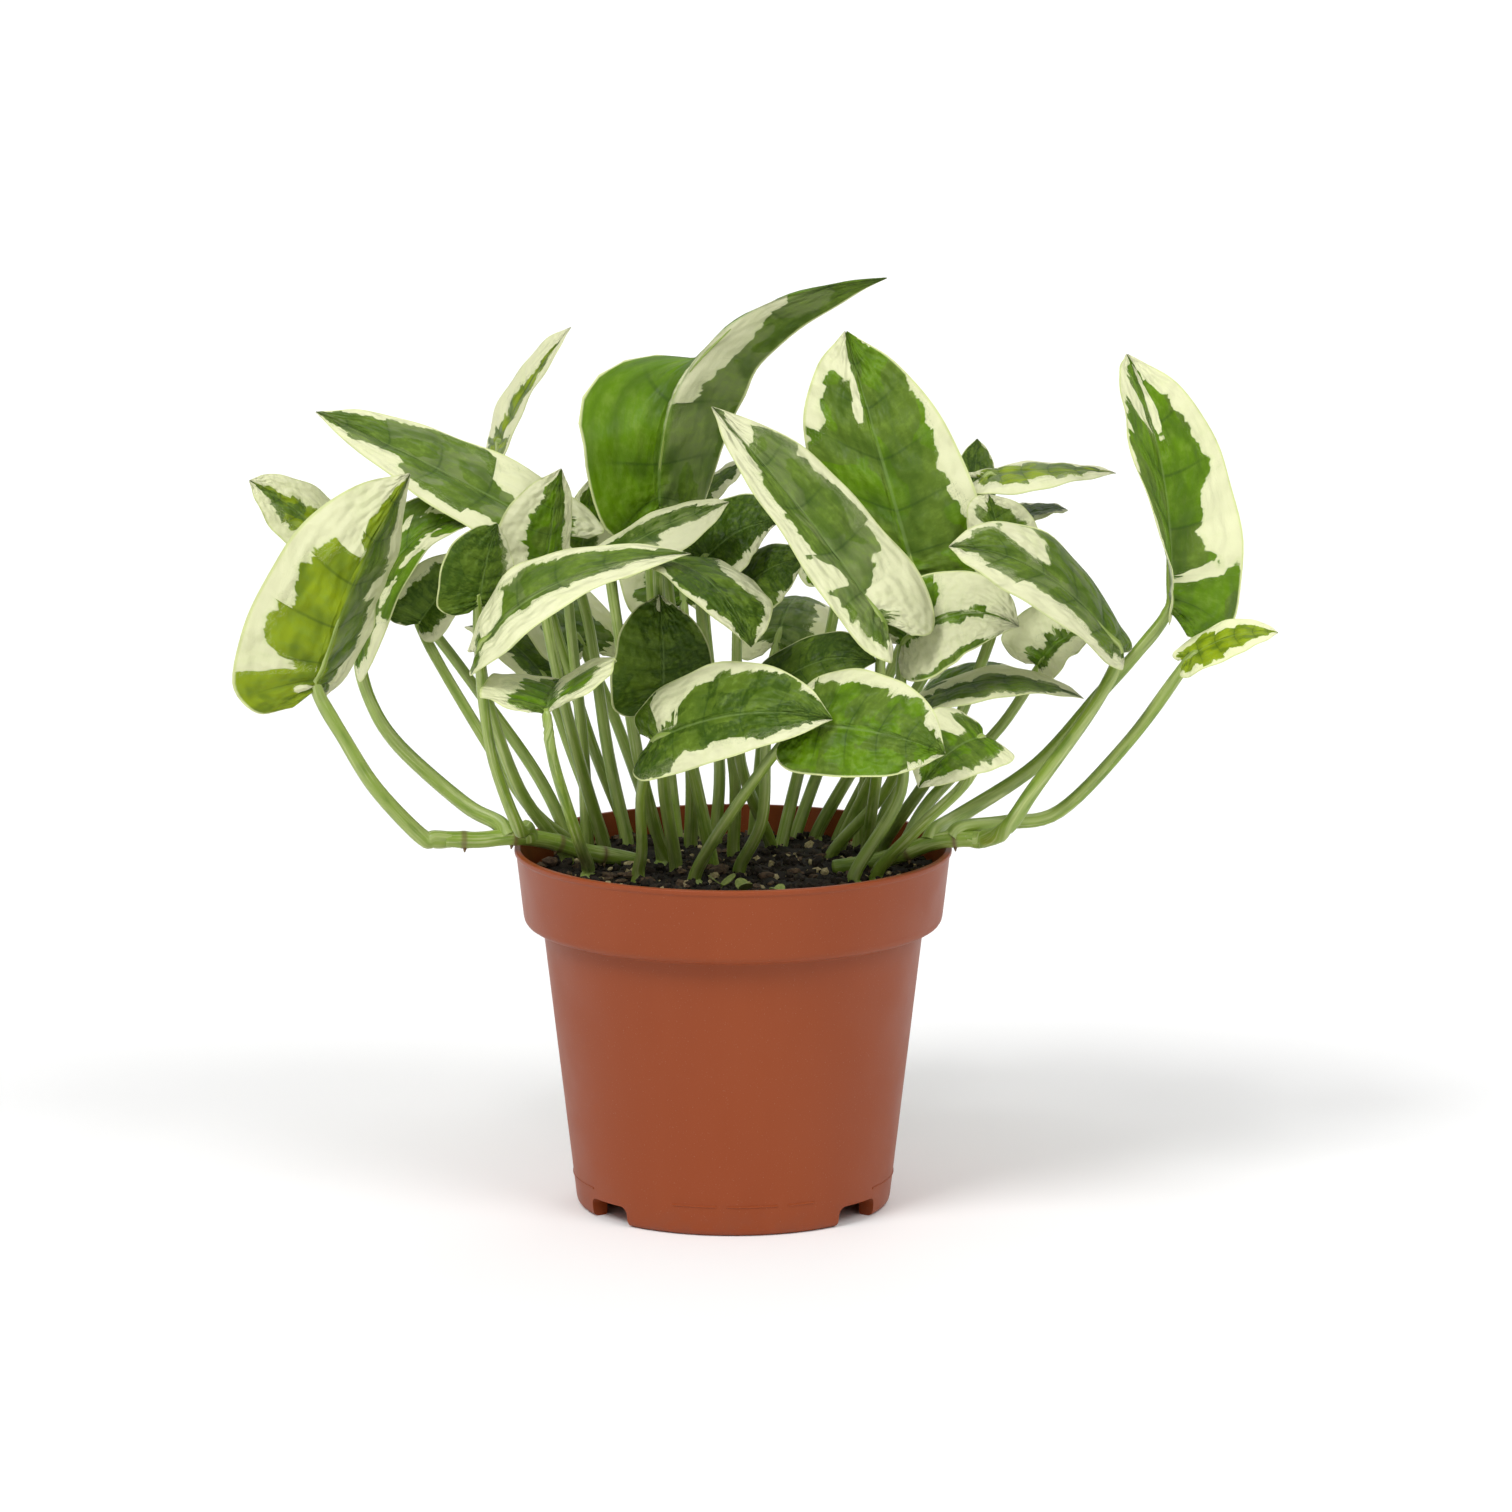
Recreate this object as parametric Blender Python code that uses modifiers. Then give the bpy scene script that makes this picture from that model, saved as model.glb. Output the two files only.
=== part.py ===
"""Potted pothos plant: a plastic nursery pot, its potting soil, two trailing stems and the leaves.

Units are metres, +Z is up, the pot's axis is the Z axis and the pot stands on Z = 0.
A leaf is its stalk and its blade in one piece, as it grew.
"""

import math

import bmesh
import bpy
from mathutils import Quaternion, Vector

MM = 0.001

# Driving sizes
POT_HEIGHT = 0.100
RIM_RADIUS = 0.060
BAND_HEIGHT = 0.021
BODY_TOP_RADIUS = 0.0526
FOOT_RADIUS = 0.0433
WALL = 0.0013
FOOT_WALL = 0.0045
FLOOR_RAISE = 0.0064
PAD_RADIUS = 0.024
NOTCH_WIDTH = 0.0155
NOTCH_HEIGHT = 0.0056
DRAIN_RADIUS = 0.0026
SOIL_BELOW_RIM = 0.007
PLANT_HEIGHT = 0.161
PLANT_SPREAD = 0.289
STEM_RADIUS = 0.0024
STALK_FOOT_RADIUS = 0.0020
STALK_TOP_RADIUS = 0.0013
BLADE_THICKNESS = 0.0010
GAP = 0.0004

# What follows from them
SOIL_LEVEL = POT_HEIGHT - SOIL_BELOW_RIM
ACROSS = (RIM_RADIUS / 0.060) * (PLANT_SPREAD / 0.289) * MM
UPWARD = (PLANT_HEIGHT / 0.161) * MM

ROUND_STEPS = 48
STALK_SIDES = 6

# Stems, from the soil outwards over the rim: x and y from the pot's axis, and height above the
# rim, in millimetres. A height of None lies on the soil.
STEMS = {
    "stem_left": [
        (-26, 11, None),
        (-33, 8, None),
        (-41, 4, -2.3),
        (-49, 0, 1.1),
        (-56, -4, 3.3),
        (-62, -6, 3.9),
        (-70, -7, 3.3),
        (-79, -8, 3.7),
    ],
    "stem_right": [
        (28, 3, None),
        (38, 0, None),
        (47, -4, -1.1),
        (54, -6, 2.1),
        (60, -7, 3.5),
        (66, -8, 3.7),
    ],
}

# Leaves, in millimetres: x and y from the pot's axis, z above the soil's surface.
# foot: (x, y) on the soil, or a stem's name and the number of the stem point that it grows from.
# via: points that the stalk passes. base, mid, tip: the midrib. left, right: the widest points
# of the two halves, seen from the upper face with the tip upwards. cup: how far the edges rise.
# twist, fold: how many degrees each half turns about the midrib towards the tip and the base.
# slim: how much narrower than usual the base of the blade is. stout: how thick the stalk is.
LEAVES = [
    dict(name="leaf_01", foot=("stem_left", 7), via=[(-86, -9, 12), (-98, -13, 26), (-106, -17, 40)],
         base=(-113, -22, 55), mid=(-103, -22, 84), tip=(-88, -4, 112),
         left=(-132, -32, 78), right=(-95, 4, 81), cup=0.05, stout=1.3),
    dict(name="leaf_02", foot=("stem_left", 5), via=[(-74, 0, 19), (-92, 6, 34), (-100, 9, 46)],
         base=(-104, 12, 59), mid=(-90, 16, 88), tip=(-68, 22, 94),
         left=(-90, 26, 101), right=(-86, 4, 86), cup=-0.05, stout=1.2),
    dict(name="leaf_03", foot=(-46, 29), via=[(-54, 30, 20), (-68, 33, 40), (-88, 35, 66)],
         base=(-106, 34, 82), mid=(-120, 30, 95), tip=(-134, 26, 105),
         left=(-126, 18, 91), right=(-113, 44, 98), cup=-0.05),
    dict(name="leaf_04", foot=(-41, 31), via=[(-42, 30, 29), (-45, 26, 62)],
         base=(-48, 23, 90), mid=(-82, 28, 108), tip=(-116, 34, 123),
         left=(-81, 12, 100), right=(-75, 42, 116), cup=-0.08),
    dict(name="leaf_05", foot=(-36, 20), via=[(-43, 4, 32), (-49, -2, 59)],
         base=(-52, 0, 78), mid=(-50, 1, 94), tip=(-47, 4, 112),
         left=(-67, -8, 94), right=(-44, 9, 95), cup=0.05),
    dict(name="leaf_06", foot=(-30, 32), via=[(-35, 32, 27), (-40, 35, 61)],
         base=(-44, 38, 78), mid=(-41, 41, 90), tip=(-39, 43, 104),
         left=(-48, 38, 92), right=(-33, 50, 91), cup=0.05),
    dict(name="leaf_07", foot=(-30, 40), via=[(-40, 36, 30), (-54, 46, 74)],
         base=(-66, 54, 108), mid=(-58, 50, 126), tip=(-45, 46, 145),
         left=(-66, 64, 120), right=(-56, 38, 126), cup=0.0),
    dict(name="leaf_08", foot=(-12, 28), via=[(-12, 20, 29), (-17, 19, 68)],
         base=(-20, 20, 95), mid=(-7, 18, 144), tip=(43, 30, 161),
         left=(-42, 9, 120), right=(6, 34, 131), cup=0.0, twist=(-120, 0), slim=0.7),
    dict(name="leaf_09", foot=(30, 24), via=[(41, 8, 31), (47, 3, 57)],
         base=(51, 4, 79), mid=(41, 12, 113), tip=(31, 26, 147),
         left=(18, 20, 117), right=(66, 10, 107), cup=0.0),
    dict(name="leaf_10", foot=(37, 14), via=[(40, -16, 36), (40, -30, 64)],
         base=(41, -36, 76), mid=(18, -26, 106), tip=(-6, -8, 131),
         left=(15, -40, 98), right=(44, -14, 96), cup=-0.05),
    dict(name="leaf_11", foot=("stem_left", 4), via=[(-59, -16, 16), (-66, -28, 40)],
         base=(-69, -38, 68), mid=(-47, -43, 88), tip=(-11, -30, 94),
         left=(-59, -25, 90), right=(-52, -56, 80), cup=-0.05, slim=0.7, stout=1.1),
    dict(name="leaf_12", foot=(-47, 12), via=[(-59, -3, 24), (-68, -12, 54)],
         base=(-69, -20, 78), mid=(-67, -19, 90), tip=(-64, -16, 100),
         left=(-80, -26, 88), right=(-60, -10, 88), cup=0.05),
    dict(name="leaf_13", foot=(-44, 19), via=[(-57, 10, 17), (-76, 12, 47)],
         base=(-87, 18, 66), mid=(-80, 20, 75), tip=(-70, 22, 85),
         left=(-94, 20, 76), right=(-77, 14, 68), cup=0.0),
    dict(name="leaf_14", foot=(-40, -6), via=[(-42, -24, 13), (-48, -51, 40)],
         base=(-50, -56, 55), mid=(-49, -39, 57), tip=(-47, -22, 58),
         left=(-68, -50, 60), right=(-31, -46, 68), cup=0.0),
    dict(name="leaf_15", foot=(-20, 14), via=[(-26, -2, 32), (-31, -2, 65)],
         base=(-34, -1, 88), mid=(-17, 1, 97), tip=(-1, 1, 103),
         left=(-20, 11, 100), right=(-12, -7, 92), cup=-0.08),
    dict(name="leaf_16", foot=(0, 20), via=[(0, 12, 29), (-8, 12, 63)],
         base=(-9, 12, 84), mid=(2, 13, 93), tip=(12, 12, 95),
         left=(1, 24, 103), right=(5, 0, 87), cup=-0.08),
    dict(name="leaf_17", foot=(-5, 40), via=[(-4, 38, 25), (-8, 42, 64)],
         base=(-9, 42, 97), mid=(-3, 43, 103), tip=(4, 44, 108),
         left=(-7, 50, 102), right=(0, 37, 102), cup=0.0),
    dict(name="leaf_18", foot=(-6, 2), via=[(-12, -4, 34), (-19, -9, 68)],
         base=(-20, -19, 91), mid=(-5, -36, 86), tip=(5, -46, 71),
         left=(11, -26, 82), right=(-13, -46, 86), cup=-0.05),
    dict(name="leaf_19", foot=(-16, 0), via=[(-19, -13, 26), (-19, -16, 41)],
         base=(-19, -19, 52), mid=(-19, -22, 66), tip=(-20, -19, 81),
         left=(-34, -30, 68), right=(-6, -16, 66), cup=0.1),
    dict(name="leaf_20", foot=(-26, -13), via=[(-25, -18, 10), (-25, -29, 28)],
         base=(-22, -39, 44), mid=(2, -53, 54), tip=(27, -60, 54),
         left=(1, -39, 67), right=(1, -62, 44), cup=-0.05),
    dict(name="leaf_21", foot=(-10, -14), via=[(-2, -30, 20), (10, -44, 40)],
         base=(18, -52, 51), mid=(39, -64, 51), tip=(57, -68, 46),
         left=(36, -46, 65), right=(29, -68, 40), cup=-0.05),
    dict(name="leaf_22", foot=(2, -6), via=[(8, -16, 18), (9, -20, 41)],
         base=(10, -24, 55), mid=(24, -28, 64), tip=(39, -34, 65),
         left=(21, -18, 70), right=(26, -36, 57), cup=-0.05),
    dict(name="leaf_23", foot=(40, -12), via=[(52, -22, 18), (64, -31, 32)],
         base=(68, -38, 45), mid=(59, -48, 43), tip=(50, -54, 34),
         left=(68, -54, 38), right=(53, -38, 52), cup=-0.05),
    dict(name="leaf_24", foot=(28, 16), via=[(42, 8, 21), (49, -3, 40)],
         base=(53, -12, 50), mid=(74, -13, 56), tip=(96, -14, 51),
         left=(73, 0, 58), right=(74, -26, 54), cup=-0.05),
    dict(name="leaf_25", foot=(34, -12), via=[(46, -9, 24), (46, -13, 48)],
         base=(46, -15, 66), mid=(62, -17, 75), tip=(78, -20, 72),
         left=(61, -5, 86), right=(62, -30, 64), cup=0.0),
    dict(name="leaf_26", foot=("stem_right", 5), via=[(75, -14, 15), (83, -11, 26), (99, -12, 49)],
         base=(106, -16, 64), mid=(84, -32, 89), tip=(58, -42, 98),
         left=(76, -48, 86), right=(96, -8, 88), cup=-0.08, slim=0.5, stout=1.3),
    dict(name="leaf_27", foot=("stem_right", 2), via=[(55, 12, 18), (74, 9, 39)],
         base=(84, 4, 57), mid=(91, 6, 64), tip=(100, 8, 66),
         left=(85, 14, 74), right=(93, -6, 61), cup=0.0),
    dict(name="leaf_28", foot=(42, 26), via=[(57, 8, 30), (69, 3, 60)],
         base=(76, 2, 82), mid=(73, 2, 94), tip=(70, 3, 105),
         left=(63, 0, 100), right=(86, 12, 88), cup=0.0),
    dict(name="leaf_29", foot=(35, 33), via=[(41, 26, 44), (59, 27, 83)],
         base=(69, 24, 106), mid=(87, 25, 108), tip=(106, 26, 107),
         left=(84, 38, 109), right=(84, 10, 106), cup=-0.08),
    dict(name="leaf_30", foot=(30, 42), via=[(46, 34, 36), (67, 36, 72)],
         base=(77, 32, 93), mid=(86, 34, 95), tip=(93, 36, 95),
         left=(85, 44, 96), right=(85, 22, 95), cup=0.0),
    dict(name="leaf_31", foot=(24, 46), via=[(41, 44, 34), (58, 46, 71)],
         base=(65, 44, 91), mid=(67, 46, 102), tip=(68, 50, 113),
         left=(60, 42, 103), right=(74, 54, 102), cup=0.0),
    dict(name="leaf_32", foot=("stem_right", 3), via=[(64, 8, 15), (84, 6, 29), (101, 0, 50), (111, 2, 61)],
         base=(120, 3, 72), mid=(118, 8, 109), tip=(108, 16, 142),
         left=(106, -6, 124), right=(139, 20, 102), cup=0.0, fold=(25, 0), stout=1.2),
    dict(name="leaf_33", foot=("stem_right", 4), via=[(75, -1, 14), (90, 0, 17), (109, -5, 38)],
         base=(124, -9, 61), mid=(137, -11, 68), tip=(149, -12, 69),
         left=(134, -3, 70), right=(138, -21, 64), cup=0.05, stout=1.2),
    dict(name="leaf_34", foot=(10, 28), via=[(2, 4, 30), (1, 6, 58)],
         base=(1, 8, 74), mid=(9, 6, 83), tip=(20, 2, 87),
         left=(5, 16, 87), right=(14, -6, 77), cup=-0.05),
    dict(name="leaf_35", foot=(-22, 42), via=[(-34, 50, 35)],
         base=(-42, 56, 53), mid=(-56, 74, 65), tip=(-68, 92, 57),
         left=(-63, 57, 63), right=(-37, 75, 63), cup=-0.08),
    dict(name="leaf_36", foot=(-10, 46), via=[(-13, 52, 39)],
         base=(-14, 60, 65), mid=(-18, 80, 75), tip=(-20, 100, 65),
         left=(-32, 67, 70), right=(0, 73, 70), cup=-0.08),
    dict(name="leaf_37", foot=(6, 48), via=[(9, 54, 35)],
         base=(12, 60, 53), mid=(18, 78, 63), tip=(24, 95, 53),
         left=(2, 74, 58), right=(27, 68, 58), cup=-0.08),
    dict(name="leaf_38", foot=(18, 44), via=[(31, 52, 37)],
         base=(41, 60, 61), mid=(55, 75, 73), tip=(67, 88, 65),
         left=(38, 78, 67), right=(60, 56, 67), cup=-0.08),
    dict(name="leaf_39", foot=(40, 36), via=[(50, 42, 26)],
         base=(58, 46, 42), mid=(71, 56, 48), tip=(84, 66, 41),
         left=(60, 62, 46), right=(72, 42, 46), cup=-0.08),
    dict(name="leaf_40", foot=(-37, 40), via=[(-46, 42, 27)],
         base=(-52, 46, 45), mid=(-64, 55, 55), tip=(-76, 64, 57),
         left=(-66, 44, 53), right=(-53, 62, 53), cup=-0.08),
    dict(name="leaf_41", foot=(14, 34), via=[(24, 42, 44)],
         base=(30, 48, 75), mid=(40, 60, 97), tip=(48, 68, 111),
         left=(25, 64, 92), right=(47, 46, 90), cup=0.0),
    dict(name="leaf_42", foot=(-16, 38), via=[(-22, 50, 57)],
         base=(-24, 54, 87), mid=(-22, 66, 107), tip=(-16, 78, 121),
         left=(-37, 60, 101), right=(-9, 64, 99), cup=0.0),
]

# A half blade's outline: where the side vein leaves the midrib, and where it meets the edge,
# as shares of the half's width and of the midrib's length.
OUTLINE = [
    (0.00, 0.24, -0.09),
    (0.02, 0.60, -0.12),
    (0.05, 0.93, -0.02),
    (0.13, 1.00, 0.20),
    (0.30, 0.95, 0.44),
    (0.50, 0.79, 0.65),
    (0.70, 0.47, 0.84),
    (0.87, 0.15, 0.95),
]
ACROSS_STEPS = (0.5, 1.0)


def clear_scene():
    for obj in list(bpy.data.objects):
        bpy.data.objects.remove(obj, do_unlink=True)


def new_collection(name):
    collection = bpy.data.collections.new(name)
    bpy.context.scene.collection.children.link(collection)
    return collection


def simple_material(name, color, roughness):
    material = bpy.data.materials.new(name)
    material.use_nodes = True
    shader = material.node_tree.nodes["Principled BSDF"]
    shader.inputs["Base Color"].default_value = (*color, 1.0)
    shader.inputs["Roughness"].default_value = roughness
    shader.inputs["Metallic"].default_value = 0.0
    return material


def pot_material():
    return simple_material("terracotta_plastic", (0.34, 0.09, 0.035), 0.45)


def soil_material():
    return simple_material("potting_soil", (0.02, 0.013, 0.009), 0.95)


def stem_material():
    return simple_material("green_stem", (0.30, 0.46, 0.10), 0.45)


def leaf_material():
    return simple_material("variegated_leaf", (0.22, 0.38, 0.09), 0.38)


def link_mesh(name, mesh, collection, material=None):
    obj = bpy.data.objects.new(name, mesh)
    collection.objects.link(obj)
    if material:
        mesh.materials.append(material)
    return obj


def mesh_object(name, points, faces, edges, collection, material=None):
    mesh = bpy.data.meshes.new(name)
    mesh.from_pydata([tuple(p) for p in points], edges, faces)
    mesh.update()
    return link_mesh(name, mesh, collection, material)


def turned(name, profile, collection, material):
    """A round body from a profile of (radius, height) points that starts and ends on the axis."""
    points = [(r, 0.0, z) for r, z in profile]
    edges = [(i, i + 1) for i in range(len(points) - 1)]
    obj = mesh_object(name, points, [], edges, collection, material)
    screw = obj.modifiers.new("Turn", "SCREW")
    screw.axis = "Z"
    screw.angle = 2 * math.pi
    screw.steps = ROUND_STEPS
    screw.render_steps = ROUND_STEPS
    screw.use_merge_vertices = True
    screw.merge_threshold = 0.00001
    screw.use_smooth_shade = True
    return obj


def wall_radius(z):
    """The outer radius of the pot's body at height z."""
    top = POT_HEIGHT - BAND_HEIGHT
    return FOOT_RADIUS + (BODY_TOP_RADIUS - FOOT_RADIUS) * z / top


def inside_profile(inset):
    """The pot's inner surface from its centre up to the shoulder, moved inwards by inset."""
    shoulder = POT_HEIGHT - BAND_HEIGHT
    floor = FLOOR_RAISE + WALL
    cone = PAD_RADIUS + FLOOR_RAISE * 0.8
    low = floor + 0.0015
    return [
        (0.0, WALL + inset),
        (PAD_RADIUS - inset, WALL + inset),
        (cone - inset, floor + inset),
        (wall_radius(floor) - WALL - 0.0015 - inset, floor + inset),
        (wall_radius(low) - WALL - inset, low + inset),
        (wall_radius(shoulder) - WALL - inset, shoulder - 0.0008 + inset),
        (RIM_RADIUS - 0.0024 - WALL - inset, shoulder + WALL + inset),
    ]


def band_radius(z, inset):
    """The inner radius of the rim band at height z, moved inwards by inset."""
    low = POT_HEIGHT - BAND_HEIGHT + WALL
    share = (z - low) / (POT_HEIGHT - low)
    return RIM_RADIUS - 0.0024 * (1 - share) - WALL - inset


def make_pot(collection, cutters):
    top = POT_HEIGHT
    shoulder = POT_HEIGHT - BAND_HEIGHT
    foot_inside = FOOT_RADIUS - FOOT_WALL
    cone = PAD_RADIUS + WALL + FLOOR_RAISE * 0.8
    profile = inside_profile(0.0)
    profile += [
        (band_radius(top - 0.0006, 0.0), top - 0.0006),
        (RIM_RADIUS - WALL + 0.0004, top),
        (RIM_RADIUS - 0.0005, top),
        (RIM_RADIUS, top - 0.0006),
        (RIM_RADIUS - 0.0021, shoulder + 0.0028),
        (RIM_RADIUS - 0.0029, shoulder + 0.0010),
        (RIM_RADIUS - 0.0048, shoulder),
        (wall_radius(shoulder), shoulder - 0.0010),
        (wall_radius(0.0026), 0.0026),
        (FOOT_RADIUS - 0.0006, 0.0009),
        (FOOT_RADIUS - 0.0020, 0.0),
        (foot_inside, 0.0),
        (foot_inside, FLOOR_RAISE),
        (cone, FLOOR_RAISE),
        (PAD_RADIUS + WALL, 0.0),
        (0.0, 0.0),
    ]
    pot = turned("pot", profile, collection, pot_material())
    for number, angle in enumerate((-142, -38, 38, 142), 1):
        add_cut(pot, foot_notch(f"notch_{number}", math.radians(angle), cutters))
    for number in range(8):
        angle = math.radians(22.5 + 45 * number)
        add_cut(pot, drain_hole(f"drain_{number + 1}", angle, cutters))
    return pot


def foot_notch(name, angle, cutters):
    """An arch through the foot wall: a box with its two upper edges rounded."""
    mesh = bpy.data.meshes.new(name)
    bm = bmesh.new()
    bmesh.ops.create_cube(bm, size=1.0)
    bmesh.ops.scale(bm, vec=(0.016, NOTCH_WIDTH, 2 * NOTCH_HEIGHT), verts=bm.verts)
    upper = [
        e
        for e in bm.edges
        if all(v.co.z > 0 for v in e.verts) and abs(e.verts[0].co.x - e.verts[1].co.x) > 0.001
    ]
    bmesh.ops.bevel(bm, geom=upper, offset=0.0022, segments=3, profile=0.5, affect="EDGES")
    bm.to_mesh(mesh)
    bm.free()
    obj = link_mesh(name, mesh, cutters)
    middle = FOOT_RADIUS - 0.5 * FOOT_WALL
    obj.location = (middle * math.cos(angle), middle * math.sin(angle), 0.0)
    obj.rotation_euler = (0.0, 0.0, angle)
    return hide_cutter(obj)


def drain_hole(name, angle, cutters):
    mesh = bpy.data.meshes.new(name)
    bm = bmesh.new()
    bmesh.ops.create_cone(
        bm,
        cap_ends=True,
        segments=12,
        radius1=DRAIN_RADIUS,
        radius2=DRAIN_RADIUS,
        depth=6 * WALL,
    )
    bm.to_mesh(mesh)
    bm.free()
    obj = link_mesh(name, mesh, cutters)
    inner = PAD_RADIUS + WALL + FLOOR_RAISE * 0.8
    middle = 0.5 * (inner + FOOT_RADIUS - FOOT_WALL)
    height = FLOOR_RAISE + 0.5 * WALL
    obj.location = (middle * math.cos(angle), middle * math.sin(angle), height)
    return hide_cutter(obj)


def hide_cutter(obj):
    obj.hide_render = True
    obj.display_type = "WIRE"
    return obj


def add_cut(obj, cutter, operation="DIFFERENCE"):
    modifier = obj.modifiers.new(cutter.name, "BOOLEAN")
    modifier.operation = operation
    modifier.solver = "EXACT"
    modifier.object = cutter
    return modifier


def make_soil(collection):
    profile = inside_profile(GAP)
    profile += [
        (band_radius(SOIL_LEVEL - 0.0010, GAP), SOIL_LEVEL - 0.0010),
        (band_radius(SOIL_LEVEL, GAP) - 0.0030, SOIL_LEVEL),
        (0.0, SOIL_LEVEL),
    ]
    profile.reverse()
    return turned("soil", profile, collection, soil_material())


def stem_points(name):
    points = []
    for x, y, z in STEMS[name]:
        if z is None:
            height = SOIL_LEVEL + STEM_RADIUS + GAP
        else:
            height = POT_HEIGHT + z * MM + (STEM_RADIUS - 0.0021)
        points.append(Vector((x * ACROSS, y * ACROSS, height)))
    return points


def leaf_point(values):
    x, y, z = values
    return Vector((x * ACROSS, y * ACROSS, SOIL_LEVEL + z * UPWARD))


def smooth_path(points, steps):
    """A Catmull-Rom curve through the points, with steps pieces between each two."""
    padded = [2 * points[0] - points[1]] + points + [2 * points[-1] - points[-2]]
    path = []
    for i in range(1, len(padded) - 2):
        before, start, end, after = padded[i - 1 : i + 3]
        for k in range(steps):
            t = k / steps
            path.append(
                0.5
                * (
                    2 * start
                    + (end - before) * t
                    + (2 * before - 5 * start + 4 * end - after) * t * t
                    + (3 * start - before - 3 * end + after) * t * t * t
                )
            )
    path.append(points[-1].copy())
    return path


def tube_mesh(name, path, radii):
    """A closed tube along the path: a bevelled curve made into a mesh with welded caps."""
    curve = bpy.data.curves.new(name + "_line", "CURVE")
    curve.dimensions = "3D"
    curve.bevel_depth = 1.0
    curve.bevel_resolution = 1
    curve.use_fill_caps = True
    curve.twist_mode = "MINIMUM"
    spline = curve.splines.new("POLY")
    spline.points.add(len(path) - 1)
    for point, position, radius in zip(spline.points, path, radii):
        point.co = (*position, 1.0)
        point.radius = radius
    holder = bpy.data.objects.new(name + "_line", curve)
    bpy.context.scene.collection.objects.link(holder)
    bpy.context.view_layer.update()
    graph = bpy.context.evaluated_depsgraph_get()
    mesh = bpy.data.meshes.new_from_object(holder.evaluated_get(graph))
    mesh.name = name
    bpy.data.objects.remove(holder, do_unlink=True)
    bpy.data.curves.remove(curve)
    bm = bmesh.new()
    bm.from_mesh(mesh)
    bmesh.ops.remove_doubles(bm, verts=bm.verts, dist=0.00001)
    bmesh.ops.recalc_face_normals(bm, faces=bm.faces)
    bm.to_mesh(mesh)
    bm.free()
    mesh.materials.clear()
    return mesh


def make_stem(name, collection):
    path = smooth_path(stem_points(name), 2)
    count = len(path)
    radii = [STEM_RADIUS * (1.0 - 0.06 * i / count) for i in range(count)]
    mesh = tube_mesh(name, path, radii)
    return link_mesh(name, mesh, collection, stem_material())


def stalk_foot(foot, onward, stout):
    """Where a stalk starts, and the next point, which sets its first direction."""
    if not isinstance(foot[0], str):
        start = Vector((foot[0] * ACROSS, foot[1] * ACROSS, SOIL_LEVEL + GAP))
        return start, start + Vector((0.0, 0.0, 0.0025))
    points = stem_points(foot[0])
    at = points[foot[1]]
    if foot[1] == len(points) - 1:
        ahead = (at - points[-2]).normalized()
        start = at + ahead * (GAP + 0.0003)
        return start, start + ahead * 0.0025
    run = points[foot[1] + 1] - points[foot[1] - 1]
    steep = abs(run.z) / run.xy.length
    lift = STEM_RADIUS * math.hypot(1.0, steep) + STALK_FOOT_RADIUS * stout * (steep + 0.3)
    start = at + Vector((0.0, 0.0, lift + GAP))
    lean = (onward - start).normalized() * 0.6 + Vector((0.0, 0.0, 1.0))
    return start, start + lean.normalized() * 0.0025


class Blade:
    """A leaf blade's middle surface, from its midrib and its two widest points."""

    def __init__(self, row):
        self.base = leaf_point(row["base"])
        self.tip = leaf_point(row["tip"])
        middle = leaf_point(row["mid"])
        self.bend = 2 * middle - 0.5 * (self.base + self.tip)
        self.length = (middle - self.base).length + (self.tip - middle).length
        self.cup = row["cup"]
        self.slim = row.get("slim", 0.0)
        self.twist = [math.radians(angle) for angle in row.get("twist", (0, 0))]
        self.fold = [math.radians(angle) for angle in row.get("fold", (0, 0))]
        self.sides = [self.side(leaf_point(row[key])) for key in ("left", "right")]

    def outline(self, place):
        """A row of the outline, with the base narrowed by the blade's slim."""
        a, x, y = OUTLINE[place]
        near = max(0.0, 1.0 - place / 3)
        return a, x * (1.0 - self.slim * near), y + 0.12 * self.slim * near

    def rib(self, y):
        if y < 0:
            return self.base + self.slope(0.0) * (y * self.length)
        return (
            (1 - y) ** 2 * self.base + 2 * y * (1 - y) * self.bend + y * y * self.tip
        )

    def slope(self, y):
        y = min(max(y, 0.0), 1.0)
        way = 2 * (1 - y) * (self.bend - self.base) + 2 * y * (self.tip - self.bend)
        return way.normalized()

    def side(self, edge):
        """The vector from the midrib to the edge, and where along the midrib it was taken."""
        at = min((0.12 + 0.02 * i for i in range(20)), key=lambda y: (edge - self.rib(y)).length)
        return at, edge - self.rib(at)

    def across(self, which, y):
        at, vector = self.sides[which]
        slope = self.slope(y)
        vector = self.slope(at).rotation_difference(slope) @ vector
        turn = self.twist[which] * min(1.0, max(0.0, (y - at) / 0.25))
        turn += self.fold[which] * min(1.0, max(0.0, (at - y) / at))
        return Quaternion(slope, turn) @ vector

    def normal(self, y):
        spread = self.across(1, y) - self.across(0, y)
        return spread.cross(self.slope(y)).normalized()

    def point(self, which, x, y):
        vector = self.across(which, y)
        width = vector.length
        lift = self.cup * x * x + 0.10 * x * (1 - x)
        return self.rib(y) + vector * x + self.normal(y) * (lift * width)


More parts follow.
